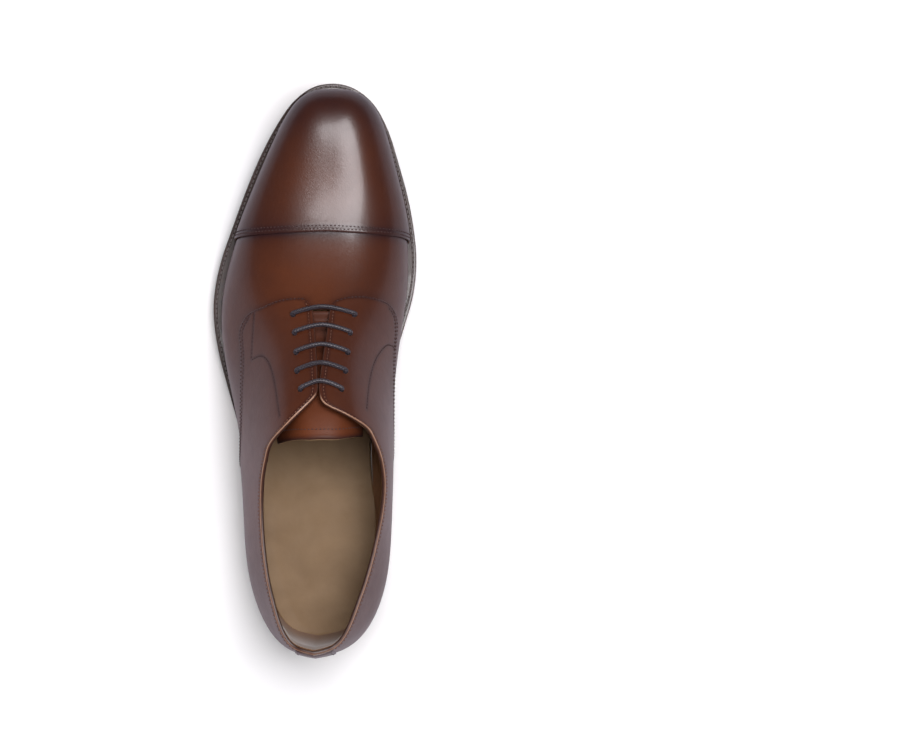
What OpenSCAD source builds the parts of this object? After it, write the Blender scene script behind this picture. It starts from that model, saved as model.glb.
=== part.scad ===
// Left cap-toe lace-up shoe (derby), leather upper, leather sole with rubber forepart and stacked heel.
// Toe towards +Y, lateral (outer) side towards -X, medial side towards +X, +Z up.
// Origin: bottom centre of the shoe's box, on the surface it stands on.

/* [Upper] */
// Thickness of the outer upper leather
leather_t = 1.1; // [0.9:0.1:1.1]
// Thickness of the vamp leather where it runs under the quarters and cap
vamp_t = 0.9; // [0.7:0.1:0.9]
// Thickness of the lining leather
lining_t = 0.8; // [0.6:0.1:0.8]
// Position of the toe cap seam along the shoe
cap_seam_y = 70; // [62:1:78]
// Width of the bound edge round the collar
binding_w = 1.8; // [1.2:0.1:2.0]
// Width of the strip down the back seam, half of it
strip_half_w = 9; // [6:0.5:11]

/* [Lacing] */
// Diameter of the round waxed lace
lace_d = 2.3; // [1.8:0.1:2.4]
// Radius of the punched lace holes
hole_r = 1.7; // [1.6:0.05:1.9]
// Outer radius of the blind eyelets
eyelet_r = 2.6; // [2.4:0.1:2.8]

/* [Sole] */
// Thickness of the welt
welt_t = 3.6; // [3:0.1:4]
// Thickness of the leather outsole in the forepart
outsole_t = 4.5; // [4:0.1:5]
// Width of the welt ring
welt_w = 6; // [5:0.5:7]
// Thickness of the insole board
insole_t = 2.4; // [2:0.1:2.8]
// Thickness of the padded sock lining
sock_t = 1; // [0.8:0.1:1.2]

/* [Heel] */
// Thickness of the lowest heel lift and of the rubber layer above it
top_piece_t = 3.7; // [3.5:0.1:3.9]
// Thickness of each leather lift
lift_t = 3.1; // [2.8:0.1:3.2]
// Radius of the heel nails
nail_r = 0.9; // [0.7:0.1:1]

/* [Hidden] */

// Last sections from toe to heel:
// y, feather x lateral, feather x medial, feather z, bulge lateral, bulge medial, bulge height,
// crest x, crest z, lateral wall inset, wall rise, lateral shoulder inset, shoulder rise, back-curve amount,
// medial wall inset, medial shoulder inset
ST = [
 [146, 10.5, 10.5, 32, 0, 0, 3, 10.5, 33, .10, .55, .50, .95, 0, .10, .50],
 [146.5, .8, 20.4, 31.5, 1, 1, 6, 10.5, 45, .10, .55, .50, .95, 0, .10, .50],
 [140, -8.2, 29.4, 29, 1.6, 2, 9, 10.5, 55, .09, .58, .46, .99, 0, .09, .46],
 [128, -15.5, 35.5, 25.5, 1.6, 2, 11, 10, 58.4, .08, .58, .45, 1, 0, .08, .45],
 [112, -23, 39.5, 22, 1.6, 2, 12, 9.5, 57.8, .08, .58, .45, 1, 0, .08, .45],
 [94, -31, 44.5, 18.5, 1.6, 2, 12, 9, 56, .08, .58, .45, 1, 0, .08, .45],
 [74, -39, 48.5, 15, 2, 2.2, 13, 8.5, 56.5, .10, .58, .47, .98, 0, .09, .47],
 [54, -45, 49.5, 12.8, 2.5, 2.5, 14, 8, 62, .14, .58, .50, .96, 0, .12, .50],
 [34, -48.5, 46, 12.5, 3, 4.5, 17, 7.5, 71, .25, .56, .56, .95, 0, .18, .56],
 [12, -46.5, 38, 14.5, 4, 9.5, 21, 7, 88, .34, .51, .62, .94, 0, .24, .61],
 [-10, -41, 33, 16.5, 5, 12, 24, 7, 106, .34, .52, .65, .95, 0, .20, .58],
 [-34, -35.5, 31.5, 18.5, 5, 11.5, 26, 7, 119, .30, .53, .64, .96, 0, .06, .41],
 [-60, -32, 33, 20.5, 5.5, 9.5, 27, 6.5, 123, .31, .52, .60, .98, 0, -.02, .46],
 [-86, -30.5, 35, 22, 6, 7, 28, 5.5, 120, .35, .52, .58, 1, 0, .18, .55],
 [-108, -29, 34.5, 23.5, 5.5, 6, 28, 4.5, 120, .38, .52, .58, 1, -1, .32, .56],
 [-128, -23, 29, 24.5, 4.5, 5, 28, 3.5, 120, .38, .52, .60, 1, -3, .38, .60],
 [-141, -14, 20, 25, 2, 2, 28, 3, 120, .34, .52, .62, 1, -6, .36, .62],
 [-143.6, 3, 3, 25.5, 0, 0, 28, 3, 120, .30, .52, .62, 1, -6.2, .30, .62]];
UE = 17;

// Cubic B-spline through a list of control vectors, ends held
function bs(P, t) = let(n = len(P), q = min(max(t, 0), n - 1.00001), i = floor(q), f = q - i,
    a = i == 0 ? 2*P[0] - P[1] : P[i-1], b = P[i], c = P[i+1],
    d = i + 2 > n - 1 ? 2*P[n-1] - P[n-2] : P[i+2])
  (pow(1-f, 3)*a + (3*f*f*f - 6*f*f + 4)*b + (-3*f*f*f + 3*f*f + 3*f + 1)*c + f*f*f*d)/6;
// Interpolating curve through a list of control vectors
function cr(P, t) = let(n = len(P), q = min(max(t, 0), n - 1.00001), i = floor(q), f = q - i,
    a = i == 0 ? 2*P[0] - P[1] : P[i-1], b = P[i], c = P[i+1],
    d = i + 2 > n - 1 ? 2*P[n-1] - P[n-2] : P[i+2])
  (2*b + (c-a)*f + (2*a - 5*b + 4*c - d)*f*f + (3*b - a - 3*c + d)*f*f*f)/2;
function mix(a, b, t) = a + (b - a)*t;
function clamp(x, a, b) = min(max(x, a), b);
function sm(x, a, b) = let(t = clamp((x - a)/(b - a), 0, 1)) t*t*(3 - 2*t);

// Control points of one section, lateral feather over the crest to medial feather
function sec(p) = let(y = p[0], zf = p[3], hb = p[6], xt = p[7], zt = p[8], h = zt - zf - hb, q = p[13],
    wl = p[1] - p[4], wr = p[2] + p[5], z1 = zf + hb)
  [[p[1], y, zf], [p[1] - .85*p[4], y + .75*q, zf + .33*hb], [wl, y + q, z1],
   [wl + (xt-wl)*p[9], y + .6*q, z1 + h*p[10]], [wl + (xt-wl)*p[11], y - 1.2*q, z1 + h*p[12]],
   [xt, y - 3*q, zt],
   [wr + (xt-wr)*p[15], y - 1.2*q, z1 + h*p[12]], [wr + (xt-wr)*p[14], y + .6*q, z1 + h*p[10]],
   [wr, y + q, z1], [p[2] + .85*p[5], y + .75*q, zf + .33*hb], [p[2], y, zf]];
// Outer surface of the upper: u runs toe to heel, v lateral to medial
function S(u, v) = bs(sec(bs(ST, u)), v);
function unit(a) = a/norm(a);
function N(u, v) = let(w = clamp(v, .1, 9.9), b = S(u, w + .05) - S(u, w - .05))
  u > UE - .03 ? unit(cross([v < 5 ? 1 : -1, 0, 0], [0, b[1], b[2]])) :
  let(q = clamp(u, .4, UE - .05), a = S(q + .04, w) - S(q - .04, w), b2 = S(q, w + .05) - S(q, w - .05))
  unit(cross(a, b2));
// Point on the upper, d outwards from the surface
function at(g, d) = S(g[0], g[1]) + d*N(g[0], g[1]);

UY = [for (u = [1:.5:UE]) [bs(ST, u)[0], u]];
ZF = [for (u = [1:.25:UE]) let(r = bs(ST, u)) [r[0], r[3]]];
function uy(y) = lookup(y, UY);
function zf(y) = lookup(y, ZF);
// Surface coordinates of a point given in plan (x, y) or in side view (y, z)
function near(i, j, x, y, u, v, n) = n == 0 ? [u, v] :
  let(p = S(u, v), a = (S(u + .02, v) - S(u - .02, v))/.04, b = (S(u, v + .02) - S(u, v - .02))/.04,
      dx = x - p[i], dy = y - p[j], k = a[i]*b[j] - a[j]*b[i])
  near(i, j, x, y, clamp(u + clamp((dx*b[j] - dy*b[i])/k, -1, 1), .05, UE),
       clamp(v + clamp((a[i]*dy - a[j]*dx)/k, -.6, .6), 0, 10), n - 1);
function pxy(x, y) = near(0, 1, x, y, uy(y), 5 + (x - 7)/16, 9);
function pyz(y, z, lat) = let(g = near(1, 2, y, z, uy(y), lat ? 3 : 7, 9)) g;
function feather(y, lat) = [uy(y), lat ? 0 : 10];
// Surface coordinates at the back seam at height z
function vback(z, lat, a = 0, b = 4.6, n = 14) = let(m = (a + b)/2) n == 0 ? (lat ? m : 10 - m) :
  S(UE, m)[2] < z ? vback(z, lat, m, b, n-1) : vback(z, lat, a, m, n-1);

// Lower edge and upper edge of the lateral quarter, in step
LQ = [[pxy(-3.2, 36.2), pxy(-.8, 33.8)], [pxy(-14.7, 35.2), pxy(1.2, 30)], [pxy(-25, 31.4), pxy(2, 26)],
      [pxy(-33.5, 27.2), pxy(2.8, 19)], [pyz(19, 52, true), pxy(3.6, 13)], [pyz(8, 55, true), pxy(4.4, 5)],
      [pyz(-7, 57, true), pxy(5.2, -5)], [pyz(-26, 55, true), pxy(5.4, -11)], [pyz(-39, 49, true), pxy(2.5, -15.7)],
      [pyz(-48, 42, true), pxy(-9.7, -27.7)], [pyz(-53.5, 32, true), pyz(-38, 97.5, true)],
      [feather(-56, true), pyz(-47, 91.8, true)], [feather(-64, true), pyz(-58, 86, true)],
      [feather(-78, true), pyz(-72, 82.2, true)], [feather(-94, true), pyz(-90, 81.8, true)],
      [feather(-110, true), pyz(-108, 84.4, true)], [feather(-125, true), pyz(-122, 87.4, true)],
      [[16, 0], [16, vback(88.8, true)]], [[16.5, 0], [16.5, vback(90.2, true)]], [[UE, 0], [UE, vback(90.8, true)]]];
MQ = [[pxy(13.5, 34.8), pxy(11.3, 32.5)], [pxy(21, 36.8), pxy(10.6, 29.5)], [pxy(31, 36.6), pxy(10, 26)],
      [pxy(41.2, 32.6), pxy(9.4, 19)], [pyz(24, 44.5, false), pxy(8.7, 13)], [pyz(12, 45.5, false), pxy(7.7, 5)],
      [pyz(-7, 48, false), pxy(6.7, -5)], [pyz(-26, 48.5, false), pxy(6.4, -11)], [pyz(-39, 44.5, false), pxy(9.2, -17.2)],
      [pyz(-48, 38.5, false), pxy(20.2, -22.8)], [pyz(-53.5, 30, false), pxy(30.4, -29.6)],
      [feather(-56, false), pyz(-37, 96.8, false)], [feather(-64, false), pyz(-46.5, 90.9, false)],
      [feather(-74, false), pyz(-60, 85.4, false)], [feather(-86, false), pyz(-76, 82.2, false)],
      [feather(-98, false), pyz(-92, 81.9, false)], [feather(-112, false), pyz(-108, 84.4, false)],
      [feather(-126, false), pyz(-122, 87.4, false)],
      [[16, 10], [16, vback(88.8, false)]], [[16.5, 10], [16.5, vback(90.2, false)]], [[UE, 10], [UE, vback(90.8, false)]]];
function lq(s, t) = mix(cr([for (p = LQ) p[0]], s), cr([for (p = LQ) p[1]], s), t);
function mq(s, t) = mix(cr([for (p = MQ) p[0]], s), cr([for (p = MQ) p[1]], s), t);
NL = len(LQ) - 1;
NM = len(MQ) - 1;
LTOP = [for (p = LQ) p[1]];
MTOP = [for (p = MQ) p[1]];
// Collar edge all the way round, lateral facing to back to medial facing; w from 0 to 2
function collar(w, s0) = w <= 1 ? cr(LTOP, mix(s0, NL, w)) : cr(MTOP, mix(NM, s0, w - 1));

// Closed shell between two offsets of the surface over a grid of surface coordinates
module shell(G, o1, o2, flip = false) {
  n = len(G); m = len(G[0]);
  P = concat([for (r = G) for (g = r) at(g, is_list(o1) ? mix(o1[0], o1[1], g[2]) : o1)],
             [for (r = G) for (g = r) at(g, is_list(o2) ? mix(o2[0], o2[1], g[2]) : o2)]);
  solid(P, n, m, flip);
}
// Closed solid from an outer and an inner grid of points, n rows of m
module solid(P, n, m, flip = false) {
  k = n*m;
  function o(i, j) = i*m + j;
  F = concat(
    [for (i = [0:n-2]) for (j = [0:m-2]) each [[o(i,j), o(i,j+1), o(i+1,j+1)], [o(i,j), o(i+1,j+1), o(i+1,j)]]],
    [for (i = [0:n-2]) for (j = [0:m-2]) each [[k+o(i,j), k+o(i+1,j+1), k+o(i,j+1)], [k+o(i,j), k+o(i+1,j), k+o(i+1,j+1)]]],
    [for (i = [0:n-2]) each [[o(i,0), o(i+1,0), k+o(i+1,0)], [o(i,0), k+o(i+1,0), k+o(i,0)]]],
    [for (i = [0:n-2]) each [[o(i,m-1), k+o(i+1,m-1), o(i+1,m-1)], [o(i,m-1), k+o(i,m-1), k+o(i+1,m-1)]]],
    [for (j = [0:m-2]) each [[o(0,j), k+o(0,j+1), o(0,j+1)], [o(0,j), k+o(0,j), k+o(0,j+1)]]],
    [for (j = [0:m-2]) each [[o(n-1,j), o(n-1,j+1), k+o(n-1,j+1)], [o(n-1,j), k+o(n-1,j+1), k+o(n-1,j)]]]);
  polyhedron(P, flip ? [for (f = F) [f[0], f[2], f[1]]] : F, convexity = 10);
}

// Offsets of the layers from the outer surface
A1 = .3; A2 = A1 - leather_t;
B1 = -1.3; B2 = B1 - vamp_t;
P1 = -2.4; P2 = -3.2;
C1 = -3.4; C2 = C1 - lining_t;

// Lace holes: plan positions along each facing
HL = [[-8.3, 27], [-7.1, 17.5], [-5.9, 7.5], [-5.1, -2], [-3, -11]];
HM = [[22.8, 27], [20.8, 17.5], [19.9, 7.5], [19.1, -2], [17.5, -11]];
module along(x, y, d) {
  g = pxy(x, y); p = at(g, d); n = N(g[0], g[1]);
  translate(p) rotate([0, acos(n[2]), atan2(n[1], n[0])]) children();
}
module punch(H, r) for (h = H) along(h[0], h[1], -8) cylinder(h = 12, r = r, $fn = 12);

function cap_u(v) = uy(cap_seam_y + 1 - .8*abs(v - 5) + (v > 5 ? -.3*(v - 5) : 0));
VG = [for (j = [0:20]) j/2];
module toe_cap() color([.33, .16, .09])
  shell([for (i = [0:14]) [for (v = VG) [mix(.1, cap_u(v), pow(i/14, 1.15)), v, 0]]], A1, A2);

VW = [0, .5, 1, 1.5, 2, 2.4, 2.7, 2.78, 2.86, 2.94, 3, 3.5, 4, 4.5, 5, 5.5, 6, 6.5, 7, 7.06, 7.14, 7.22, 7.3, 7.6, 8, 8.5, 9, 9.5, 10];
// Rear edge of the vamp, under the quarters at the sides and at the tongue seam in the middle
function vamp_u(v) = let(e = abs(v - 5)) uy(e < 2 ? 31 - 6*sm(e, 1, 2) : e < 2.3 ? mix(25, -36, (e - 2)/.3) : mix(-36, -60, sm(e, 2.3, 3.9)));
module vamp() color([.45, .22, .11])
  shell([for (i = [0:18]) [for (v = VW) [mix(uy(cap_seam_y + 10), vamp_u(v), i/18), v, 0]]], B1, B2);

module quarter_lateral() color([.5, .25, .13]) difference() {
  shell([for (i = [0:38]) [for (j = [0:8]) let(g = lq(i*NL/38, j/8)) [g[0], g[1], 0]]], A1, A2);
  punch(HL, hole_r);
}
module quarter_medial() color([.48, .24, .12]) difference() {
  shell([for (i = [0:40]) [for (j = [0:8]) let(g = mq(i*NM/40, j/8)) [g[0], g[1], 0]]], A1, A2, true);
  punch(HM, hole_r);
}
// Reinforcements behind the lace holes
module stay_lateral() color([.75, .68, .55]) difference() {
  shell([for (i = [0:12]) [for (j = [0:4]) let(s = mix(1.8, 7.6, i/12), g = cr(LTOP, s)) [g[0], mix(g[1] - 1.15, g[1] - .1, j/4), 0]]], B1, B2);
  punch(HL, eyelet_r + .1);
}
module stay_medial() color([.75, .68, .55]) difference() {
  shell([for (i = [0:12]) [for (j = [0:4]) let(s = mix(1.8, 7.6, i/12), g = cr(MTOP, s)) [g[0], mix(g[1] + 1.15, g[1] + .1, j/4), 0]]], B1, B2, true);
  punch(HM, eyelet_r + .1);
}
// One path round the heel: w = -1 lateral front, 0 back seam, 1 medial front
function wrap(w, u0, e, z) = let(u = mix(UE, u0, abs(w))) [u, w <= 0 ? e : 10 - e, 0];

module back_strip() color([.42, .2, .1])
  shell([for (i = [-5:5]) [for (j = [0:10]) let(a = abs(i)/5, hw = mix(.35, 1, sm(j, 2, 10)),
      u = mix(UE, UE - .75, a*hw)) [u, i <= 0 ? mix(.25, vback(90.2, true), j/10) : 10 - mix(.25, vback(90.2, true), j/10), 0]]],
    A1 + 1, A1 + .1);

module topline_binding() color([.62, .36, .2])
  shell([for (i = [0:72]) let(w = i/36, g = collar(w, 8.1), k = w <= 1 ? 1 : -1)
      [for (j = [0:2]) [g[0], g[1] + k*mix(.02, binding_w/24, j/2), 0]]],
    A1 + .15, -3.15);

module vamp_lining() color([.72, .6, .42])
  shell([for (i = [0:18]) [for (v = VG) [mix(.35, uy(33 - 1.2*abs(v-5)), pow(i/18, 1.1)), v == 0 ? .12 : v == 10 ? 9.88 : v, 0]]], C1, C2);

// Lining of both quarters, one piece from facing to facing round the heel
function lin_l(s, t) = let(top = cr(LTOP, mix(1.9, NL, s)), yb = mix(24, -143, s)) mix([mix(uy(24), UE, s), .12], top, t);
function lin_m(s, t) = let(top = cr(MTOP, mix(1.9, NM, s))) mix([mix(uy(24), UE, s), 9.88], top, t);
module quarter_lining() color([.74, .62, .44]) difference() {
  shell([for (i = [0:56]) [for (j = [0:8]) let(t = j/8, s = i/28, g = i <= 28 ? lin_l(s, t) : lin_m(2 - s, t), e = sm(t, .8, 1)) [g[0], g[1], e]]],
    [C1, -2.25], [C2, -3.05]);
  punch(HL, 3.1);
  punch(HM, 3.1);
}
module heel_grip() color([.5, .26, .14])
  shell([for (i = [-7:7]) [for (j = [0:6]) let(a = abs(i)/7, u = mix(UE, 15.2, a), e = mix(1, vback(86, true), j/6)) [u, i <= 0 ? e : 10 - e, 0]]],
    C2 - .6, C2 - 1.3);

// Tongue: rises from the vamp seam, lies under the facings and stands above the collar at the back
function ton_d(u) = -2.4 - 3*sm(u, uy(30), uy(27)) - 2.2*sm(u, uy(27), uy(19)) - 5.4*sm(u, 10.3, 11.6);
function ton(i, j, n) = let(u = mix(uy(30.5), 10.9, i/n), k = i/n, a = j/5, hw = mix(mix(.6, 1.5, sm(k, .1, .5)), a < 0 ? 2 : 1.85, sm(k, .6, 1)),
    uu = u + (a < 0 ? .28 : .06)*a*a*sm(k, .7, 1)) [uu, 5 + hw*a, u];
module tongue_sheet(d1, d2) {
  n = 16;
  G = [for (i = [0:n]) [for (j = [-5:5]) ton(i, j, n)]];
  P = concat([for (r = G) for (g = r) at(g, ton_d(g[2]) - d1)], [for (r = G) for (g = r) at(g, ton_d(g[2]) - d2)]);
  solid(P, n + 1, 11);
}
module tongue() color([.47, .23, .12]) tongue_sheet(0, 1.1);
module tongue_lining() color([.72, .6, .42]) tongue_sheet(1.35, 2);

module toe_puff() color([.85, .8, .68])
  shell([for (i = [0:8]) [for (j = [0:16]) let(v = mix(.5, 9.5, j/16)) [mix(.5, uy(100), pow(i/8, 1.2)), v, 0]]], P1 + 1, P2 + .8);
module heel_counter() color([.82, .74, .6])
  shell([for (i = [-12:12]) [for (j = [0:6]) let(a = abs(i)/12, u = mix(UE, 13, a), top = mix(2.6, 1.3, sm(a, .4, 1)), e = mix(.2, top, j/6)) [u, i <= 0 ? e : 10 - e, 0]]],
    P1, P2);

// Sole outline from toe to heel: y, lateral x, medial x, bottom z of the leather outsole
SO = [[150.3, 8, 12, 25.3], [148.6, 0, 19.5, 24.3], [143.4, -8, 27.8, 22.2], [137, -14.2, 33.6, 19.5], [125, -22, 39.6, 16],
      [111, -29.4, 44, 14], [93, -37.2, 49, 11.3], [75, -44, 52.5, 8.6], [57, -50.4, 54, 5.6], [39.5, -54, 52.3, 3.3],
      [24, -54.1, 48, 2.5], [6, -51, 42.6, 3], [-14, -45.5, 38, 4.6], [-34, -40, 36, 8.2], [-56, -36.5, 36.5, 10.7],
      [-76, -35, 38, 13.6], [-96, -33.6, 38.4, 14.8], [-114, -31.6, 36.6, 15.7], [-128, -27.6, 32.6, 16.3], [-138, -20.6, 25.6, 16.8],
      [-145, -10, 15.5, 17], [-148, 0, 5.5, 17.2]];
NS = 44;
function so(i) = cr(SO, i*(len(SO)-1)/NS);
// Plate between two heights given by the row, side edges at the outline less an inset
module plate(R) {
  n = len(R);
  P = concat([for (r = R) for (t = [0:4]) [mix(r[1], r[2], t/4), r[0], r[4]]], [for (r = R) for (t = [0:4]) [mix(r[1], r[2], t/4), r[0], r[3]]]);
  solid(P, n, 5);
}
function welt_b(y) = zf(y) - welt_t - 1.3*sm(-y, 60, 85);
module outsole() color([.55, .4, .27])
  plate([for (i = [0:NS]) let(r = so(i)) [r[0], r[1], r[2], r[3], welt_b(r[0]) - .25]]);
module forepart_rubber() color([.1, .1, .12])
  plate([for (i = [0:30]) let(y = mix(128, -12, i/30), k = lookup(y, [for (q = [0:NS]) [so(q)[0], q]]), r = so(k), z = r[3] - .05)
    [y, r[1] + .2, r[2] - .2, max(z - mix(2.35, .8, sm(y, 112, 128)), 0), z]]);

// Loop round the sole, lateral side back and medial side forward, moved inwards by w
function loop_pts() = concat([for (i = [0:NS]) [so(i)[1], so(i)[0]]], [for (i = [NS:-1:0]) [so(i)[2], so(i)[0]]]);
function inset2(L, w) = let(n = len(L)) [for (i = [0:n-1]) let(a = L[(i+n-1)%n], b = L[(i+1)%n], t = unit(b - a)) L[i] + w*[-t[1], t[0]]];
module ring(L1, L2) {
  n = len(L1);
  P = concat([for (p = L1) [p[0], p[1], zf(p[1]) - .1]], [for (p = L2) [p[0], p[1], zf(p[1]) - .1]],
             [for (p = L2) [p[0], p[1], welt_b(p[1])]], [for (p = L1) [p[0], p[1], welt_b(p[1])]]);
  F = [for (k = [0:3]) for (i = [0:n-1]) let(j = (i+1)%n, a = k*n, b = ((k+1)%4)*n) each [[a+i, b+j, a+j], [a+i, b+i, b+j]]];
  polyhedron(P, F, convexity = 10);
}
module welt() color([.2, .12, .09]) ring(loop_pts(), inset2(loop_pts(), welt_w));

// Rows of the inside shapes, from the feather line moved inwards by e
function inner(y, e) = let(r = bs(ST, uy(max(y, -118))), k = y < -118 ? sqrt(max(0, 1 - pow((y + 118)/-(118 - 138.4), 2))) : 1, c = (r[1] + r[2])/2, w = (r[2] - r[1])/2 - e)
  [y, c - w*k, c + w*k];
module insole() color([.7, .55, .38])
  plate([for (y = concat([for (i = [0:30]) mix(138, -118, i/30)], [for (i = [1:8]) -118 - 20*sin(90*i/8)])) let(r = inner(y, 4.3 + 1.5*sm(y, 125, 138)))
    [y, r[1], r[2], zf(y) + .3, zf(y) + .3 + insole_t]]);
module sock_lining() color([.68, .55, .4])
  plate([for (y = concat([for (i = [0:30]) mix(132, -118, i/30)], [for (i = [1:8]) -118 - 20*sin(90*i/8)])) let(r = inner(y, 4.6 + 1.5*sm(y, 125, 138)), z = zf(y) + .45 + insole_t + 1.9*sm(-y, 58, 76))
    [y, r[1], r[2], z, z + sock_t]]);
module heel_pad() color([.8, .74, .62])
  plate([for (y = concat([for (i = [0:9]) mix(-76, -118, i/9)], [for (i = [1:8]) -118 - 18.6*sin(90*i/8)])) let(r = inner(y, 5.6), z = zf(y) + .35 + insole_t) [y, r[1], r[2], z, z + 1.9]]);
module cork_filler() color([.62, .45, .28])
  plate([for (i = [0:26]) let(y = mix(141, -4, i/26), k = lookup(y, [for (q = [0:NS]) [so(q)[0], q]]), r = so(k), e = welt_w + 2.4 + 6*sm(y, 100, 141))
    [y, r[1] + e, r[2] - e, welt_b(y) + .1, zf(y) - .3]]);
module shank() color([.6, .6, .62])
  plate([for (i = [0:14]) let(y = mix(-8, -104, i/14)) [y, -5, 7, welt_b(y) + .4, welt_b(y) + 1.6]]);

// Heel outline: back arc, straight sides and a slanted, hollowed breast
HX = [[-34.4, -74], [-34.2, -92], [-32.8, -108], [-29.2, -122], [-22.8, -134], [-13.6, -142], [-4, -145.8], [2.5, -146.5],
      [9, -145.8], [18.6, -142], [27.8, -134], [34.2, -122], [37.4, -108], [38, -92], [38, -68]];
function heel_outline() = concat([for (i = [0:42]) cr(HX, i/3)], [for (i = [1:7]) let(t = i/8) [mix(38, -34.4, t), mix(-68, -74, t) - 7*sin(180*t)]]);
NAILS = [[-18, -96], [-15, -118], [2, -130], [20, -118], [22, -96]];
module lift(z, h, k = 1) translate([0, 0, z]) linear_extrude(h) polygon([for (p = heel_outline()) [2 + (p[0] - 2)*k, -108 + (p[1] + 108)*k]]);
module nail_holes() for (p = NAILS) translate([p[0], p[1], 3]) cylinder(h = 11.5, r = nail_r + .1, $fn = 24);
module heel_top_piece_leather() color([.6, .45, .3]) intersection() {
  lift(0, top_piece_t - .05, .985);
  translate([-60, -110, -1]) cube([120, 60, 9]);
}
module heel_top_piece_rubber() color([.1, .1, .12]) difference() {
  lift(0, top_piece_t - .05, .985);
  translate([-60, -110.2, -1]) cube([120, 60, 9]);
}
Z1 = top_piece_t; Z2 = 2*top_piece_t; Z3 = Z2 + lift_t; Z4 = Z3 + lift_t;
module heel_rubber_layer() color([.13, .13, .15]) difference() { lift(Z1, top_piece_t - .05, .99); nail_holes(); }
module heel_lift_lower() color([.58, .42, .28]) difference() { lift(Z2, lift_t - .05, .995); nail_holes(); }
module heel_lift_upper() color([.58, .42, .28]) difference() {
  lift(Z3, lift_t - .05, 1);
  translate([0, 0, -.6]) nail_holes();
  translate([-60, -79, Z4 - .1]) rotate([-9, 0, 0]) cube([120, 40, 6]);
}
// Wedge between the flat lifts and the sloping heel seat
module heel_wedge() color([.56, .4, .27])
  plate([for (i = [0:16]) let(y = mix(-85, -147.5, i/16), k = lookup(y, [for (q = [0:NS]) [so(q)[0], q]]), r = so(k))
    [y, r[1] + .4, r[2] - .4, Z4 + .02, max(r[3] - .1, Z4 + .2)]]);
module heel_nails() color([.6, .55, .4]) for (p = NAILS) translate([p[0], p[1], Z1 + .2]) {
  cylinder(h = 8.4, r = nail_r, $fn = 24);
}

module eyelets() color([.75, .62, .3]) for (h = concat(HL, HM)) along(h[0], h[1], B2)
  difference() { cylinder(h = vamp_t - .1, r = eyelet_r, $fn = 32); translate([0, 0, -1]) cylinder(h = 3, r = hole_r, $fn = 32); }

// Lace route: x, y, height over the surface, 1 where the curve is sampled twice.
// Bars outside, runs and folded ends under the facings.
RT = [[-24, -1, -6, 0], [-25, 12, -6, 0], [-24, 23, -6, 0], [-21.5, 25.5, -6, 0], [-19, 23, -6, 0], [-19, 10, -6, 0], [-19, -3, -6, 0],
      [-16, -6, -6, 0], [-13, -3, -6, 0], [-13.5, 9, -6, 0], [-12.5, 20, -6, 0], [-10, 22, -6, 0], [-8, 18, -6, 0], [-9, 8, -6, 0], [-7.5, 1, -6, 0],
      [-5.1, -2, -4.9, 0], [-5.1, -2, -.8, 1], [-4.2, -1.6, 1.8, 1], [7, 1, 3, 1], [18.2, -1.6, 1.8, 1], [19.1, -2, -.8, 0], [19.1, -2, -4.9, 0],
      [20.2, 3, -6, 0], [21.6, 12, -6, 0], [20.8, 17.5, -4.9, 0], [20.8, 17.5, -.8, 1],
      [19.9, 17.9, 1.8, 1], [7, 20.5, 2.8, 1], [-6.2, 17.9, 1.8, 1], [-7.1, 17.5, -.8, 0], [-7.1, 17.5, -4.9, 0], [-7.4, 22, -5.1, 0], [-8.3, 27, -4.9, 0], [-8.3, 27, -.8, 1],
      [-7.4, 27.4, 1.8, 1], [7, 30, 2.8, 1], [21.9, 27.4, 1.8, 1], [22.8, 27, -.8, 0], [22.8, 27, -4.9, 0], [25.4, 20, -6, 0], [24.6, 12, -6, 0], [19.9, 7.5, -4.9, 0], [19.9, 7.5, -.8, 1],
      [19, 7.9, 1.8, 1], [7, 10.5, 2.8, 1], [-5, 7.9, 1.8, 1], [-5.9, 7.5, -.8, 0], [-5.9, 7.5, -4.9, 0], [-9.5, -2, -6, 0], [-8.2, -9, -6, 0], [-3, -11, -4.9, 0], [-3, -11, -.8, 1],
      [-2.1, -10.6, 1.8, 1], [7, -8, 3, 1], [16.6, -10.6, 1.8, 1], [17.5, -11, -.8, 0], [17.5, -11, -4.9, 0], [20, -15, -6, 0], [24, -15, -6, 0], [26.5, -8, -6, 0],
      [28, 6, -6, 0], [29, 20, -6, 0], [31, 22.5, -6, 0], [33, 20, -6, 0], [33, 8, -6, 0]];
RP = [for (p = RT) at(pxy(p[0], p[1]), p[2])];
TL = [for (i = [0:len(RT)-1]) each (RT[i][3] == 1 ? [i, i + .5] : [i])];
LC = [for (t = TL) cr(RP, t)];
module tube(C, r, n = 8) {
  m = len(C);
  T = [for (i = [0:m-1]) unit(C[min(i+1, m-1)] - C[max(i-1, 0)])];
  P = [for (i = [0:m-1]) let(ref = abs(T[i][0]) > .8 ? [0, .5, 1] : [1, 0, .2], a = unit(cross(T[i], ref)), b = cross(T[i], a))
       for (j = [0:n-1]) C[i] + r*(cos(360*j/n)*a + sin(360*j/n)*b)];
  F = concat([[for (j = [0:n-1]) j]], [[for (j = [n-1:-1:0]) (m-1)*n + j]],
    [for (i = [0:m-2]) for (j = [0:n-1]) let(k = (j+1)%n) each [[i*n+j, (i+1)*n+j, (i+1)*n+k], [i*n+j, (i+1)*n+k, i*n+k]]]);
  polyhedron(P, F, convexity = 10);
}
module lace() color([.08, .07, .09]) tube(LC, lace_d/2);
module aglet(p, q) translate(p) rotate([0, acos(unit(q - p)[2]), atan2((q - p)[1], (q - p)[0])]) cylinder(h = 11, r = .95, $fn = 24);
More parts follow.
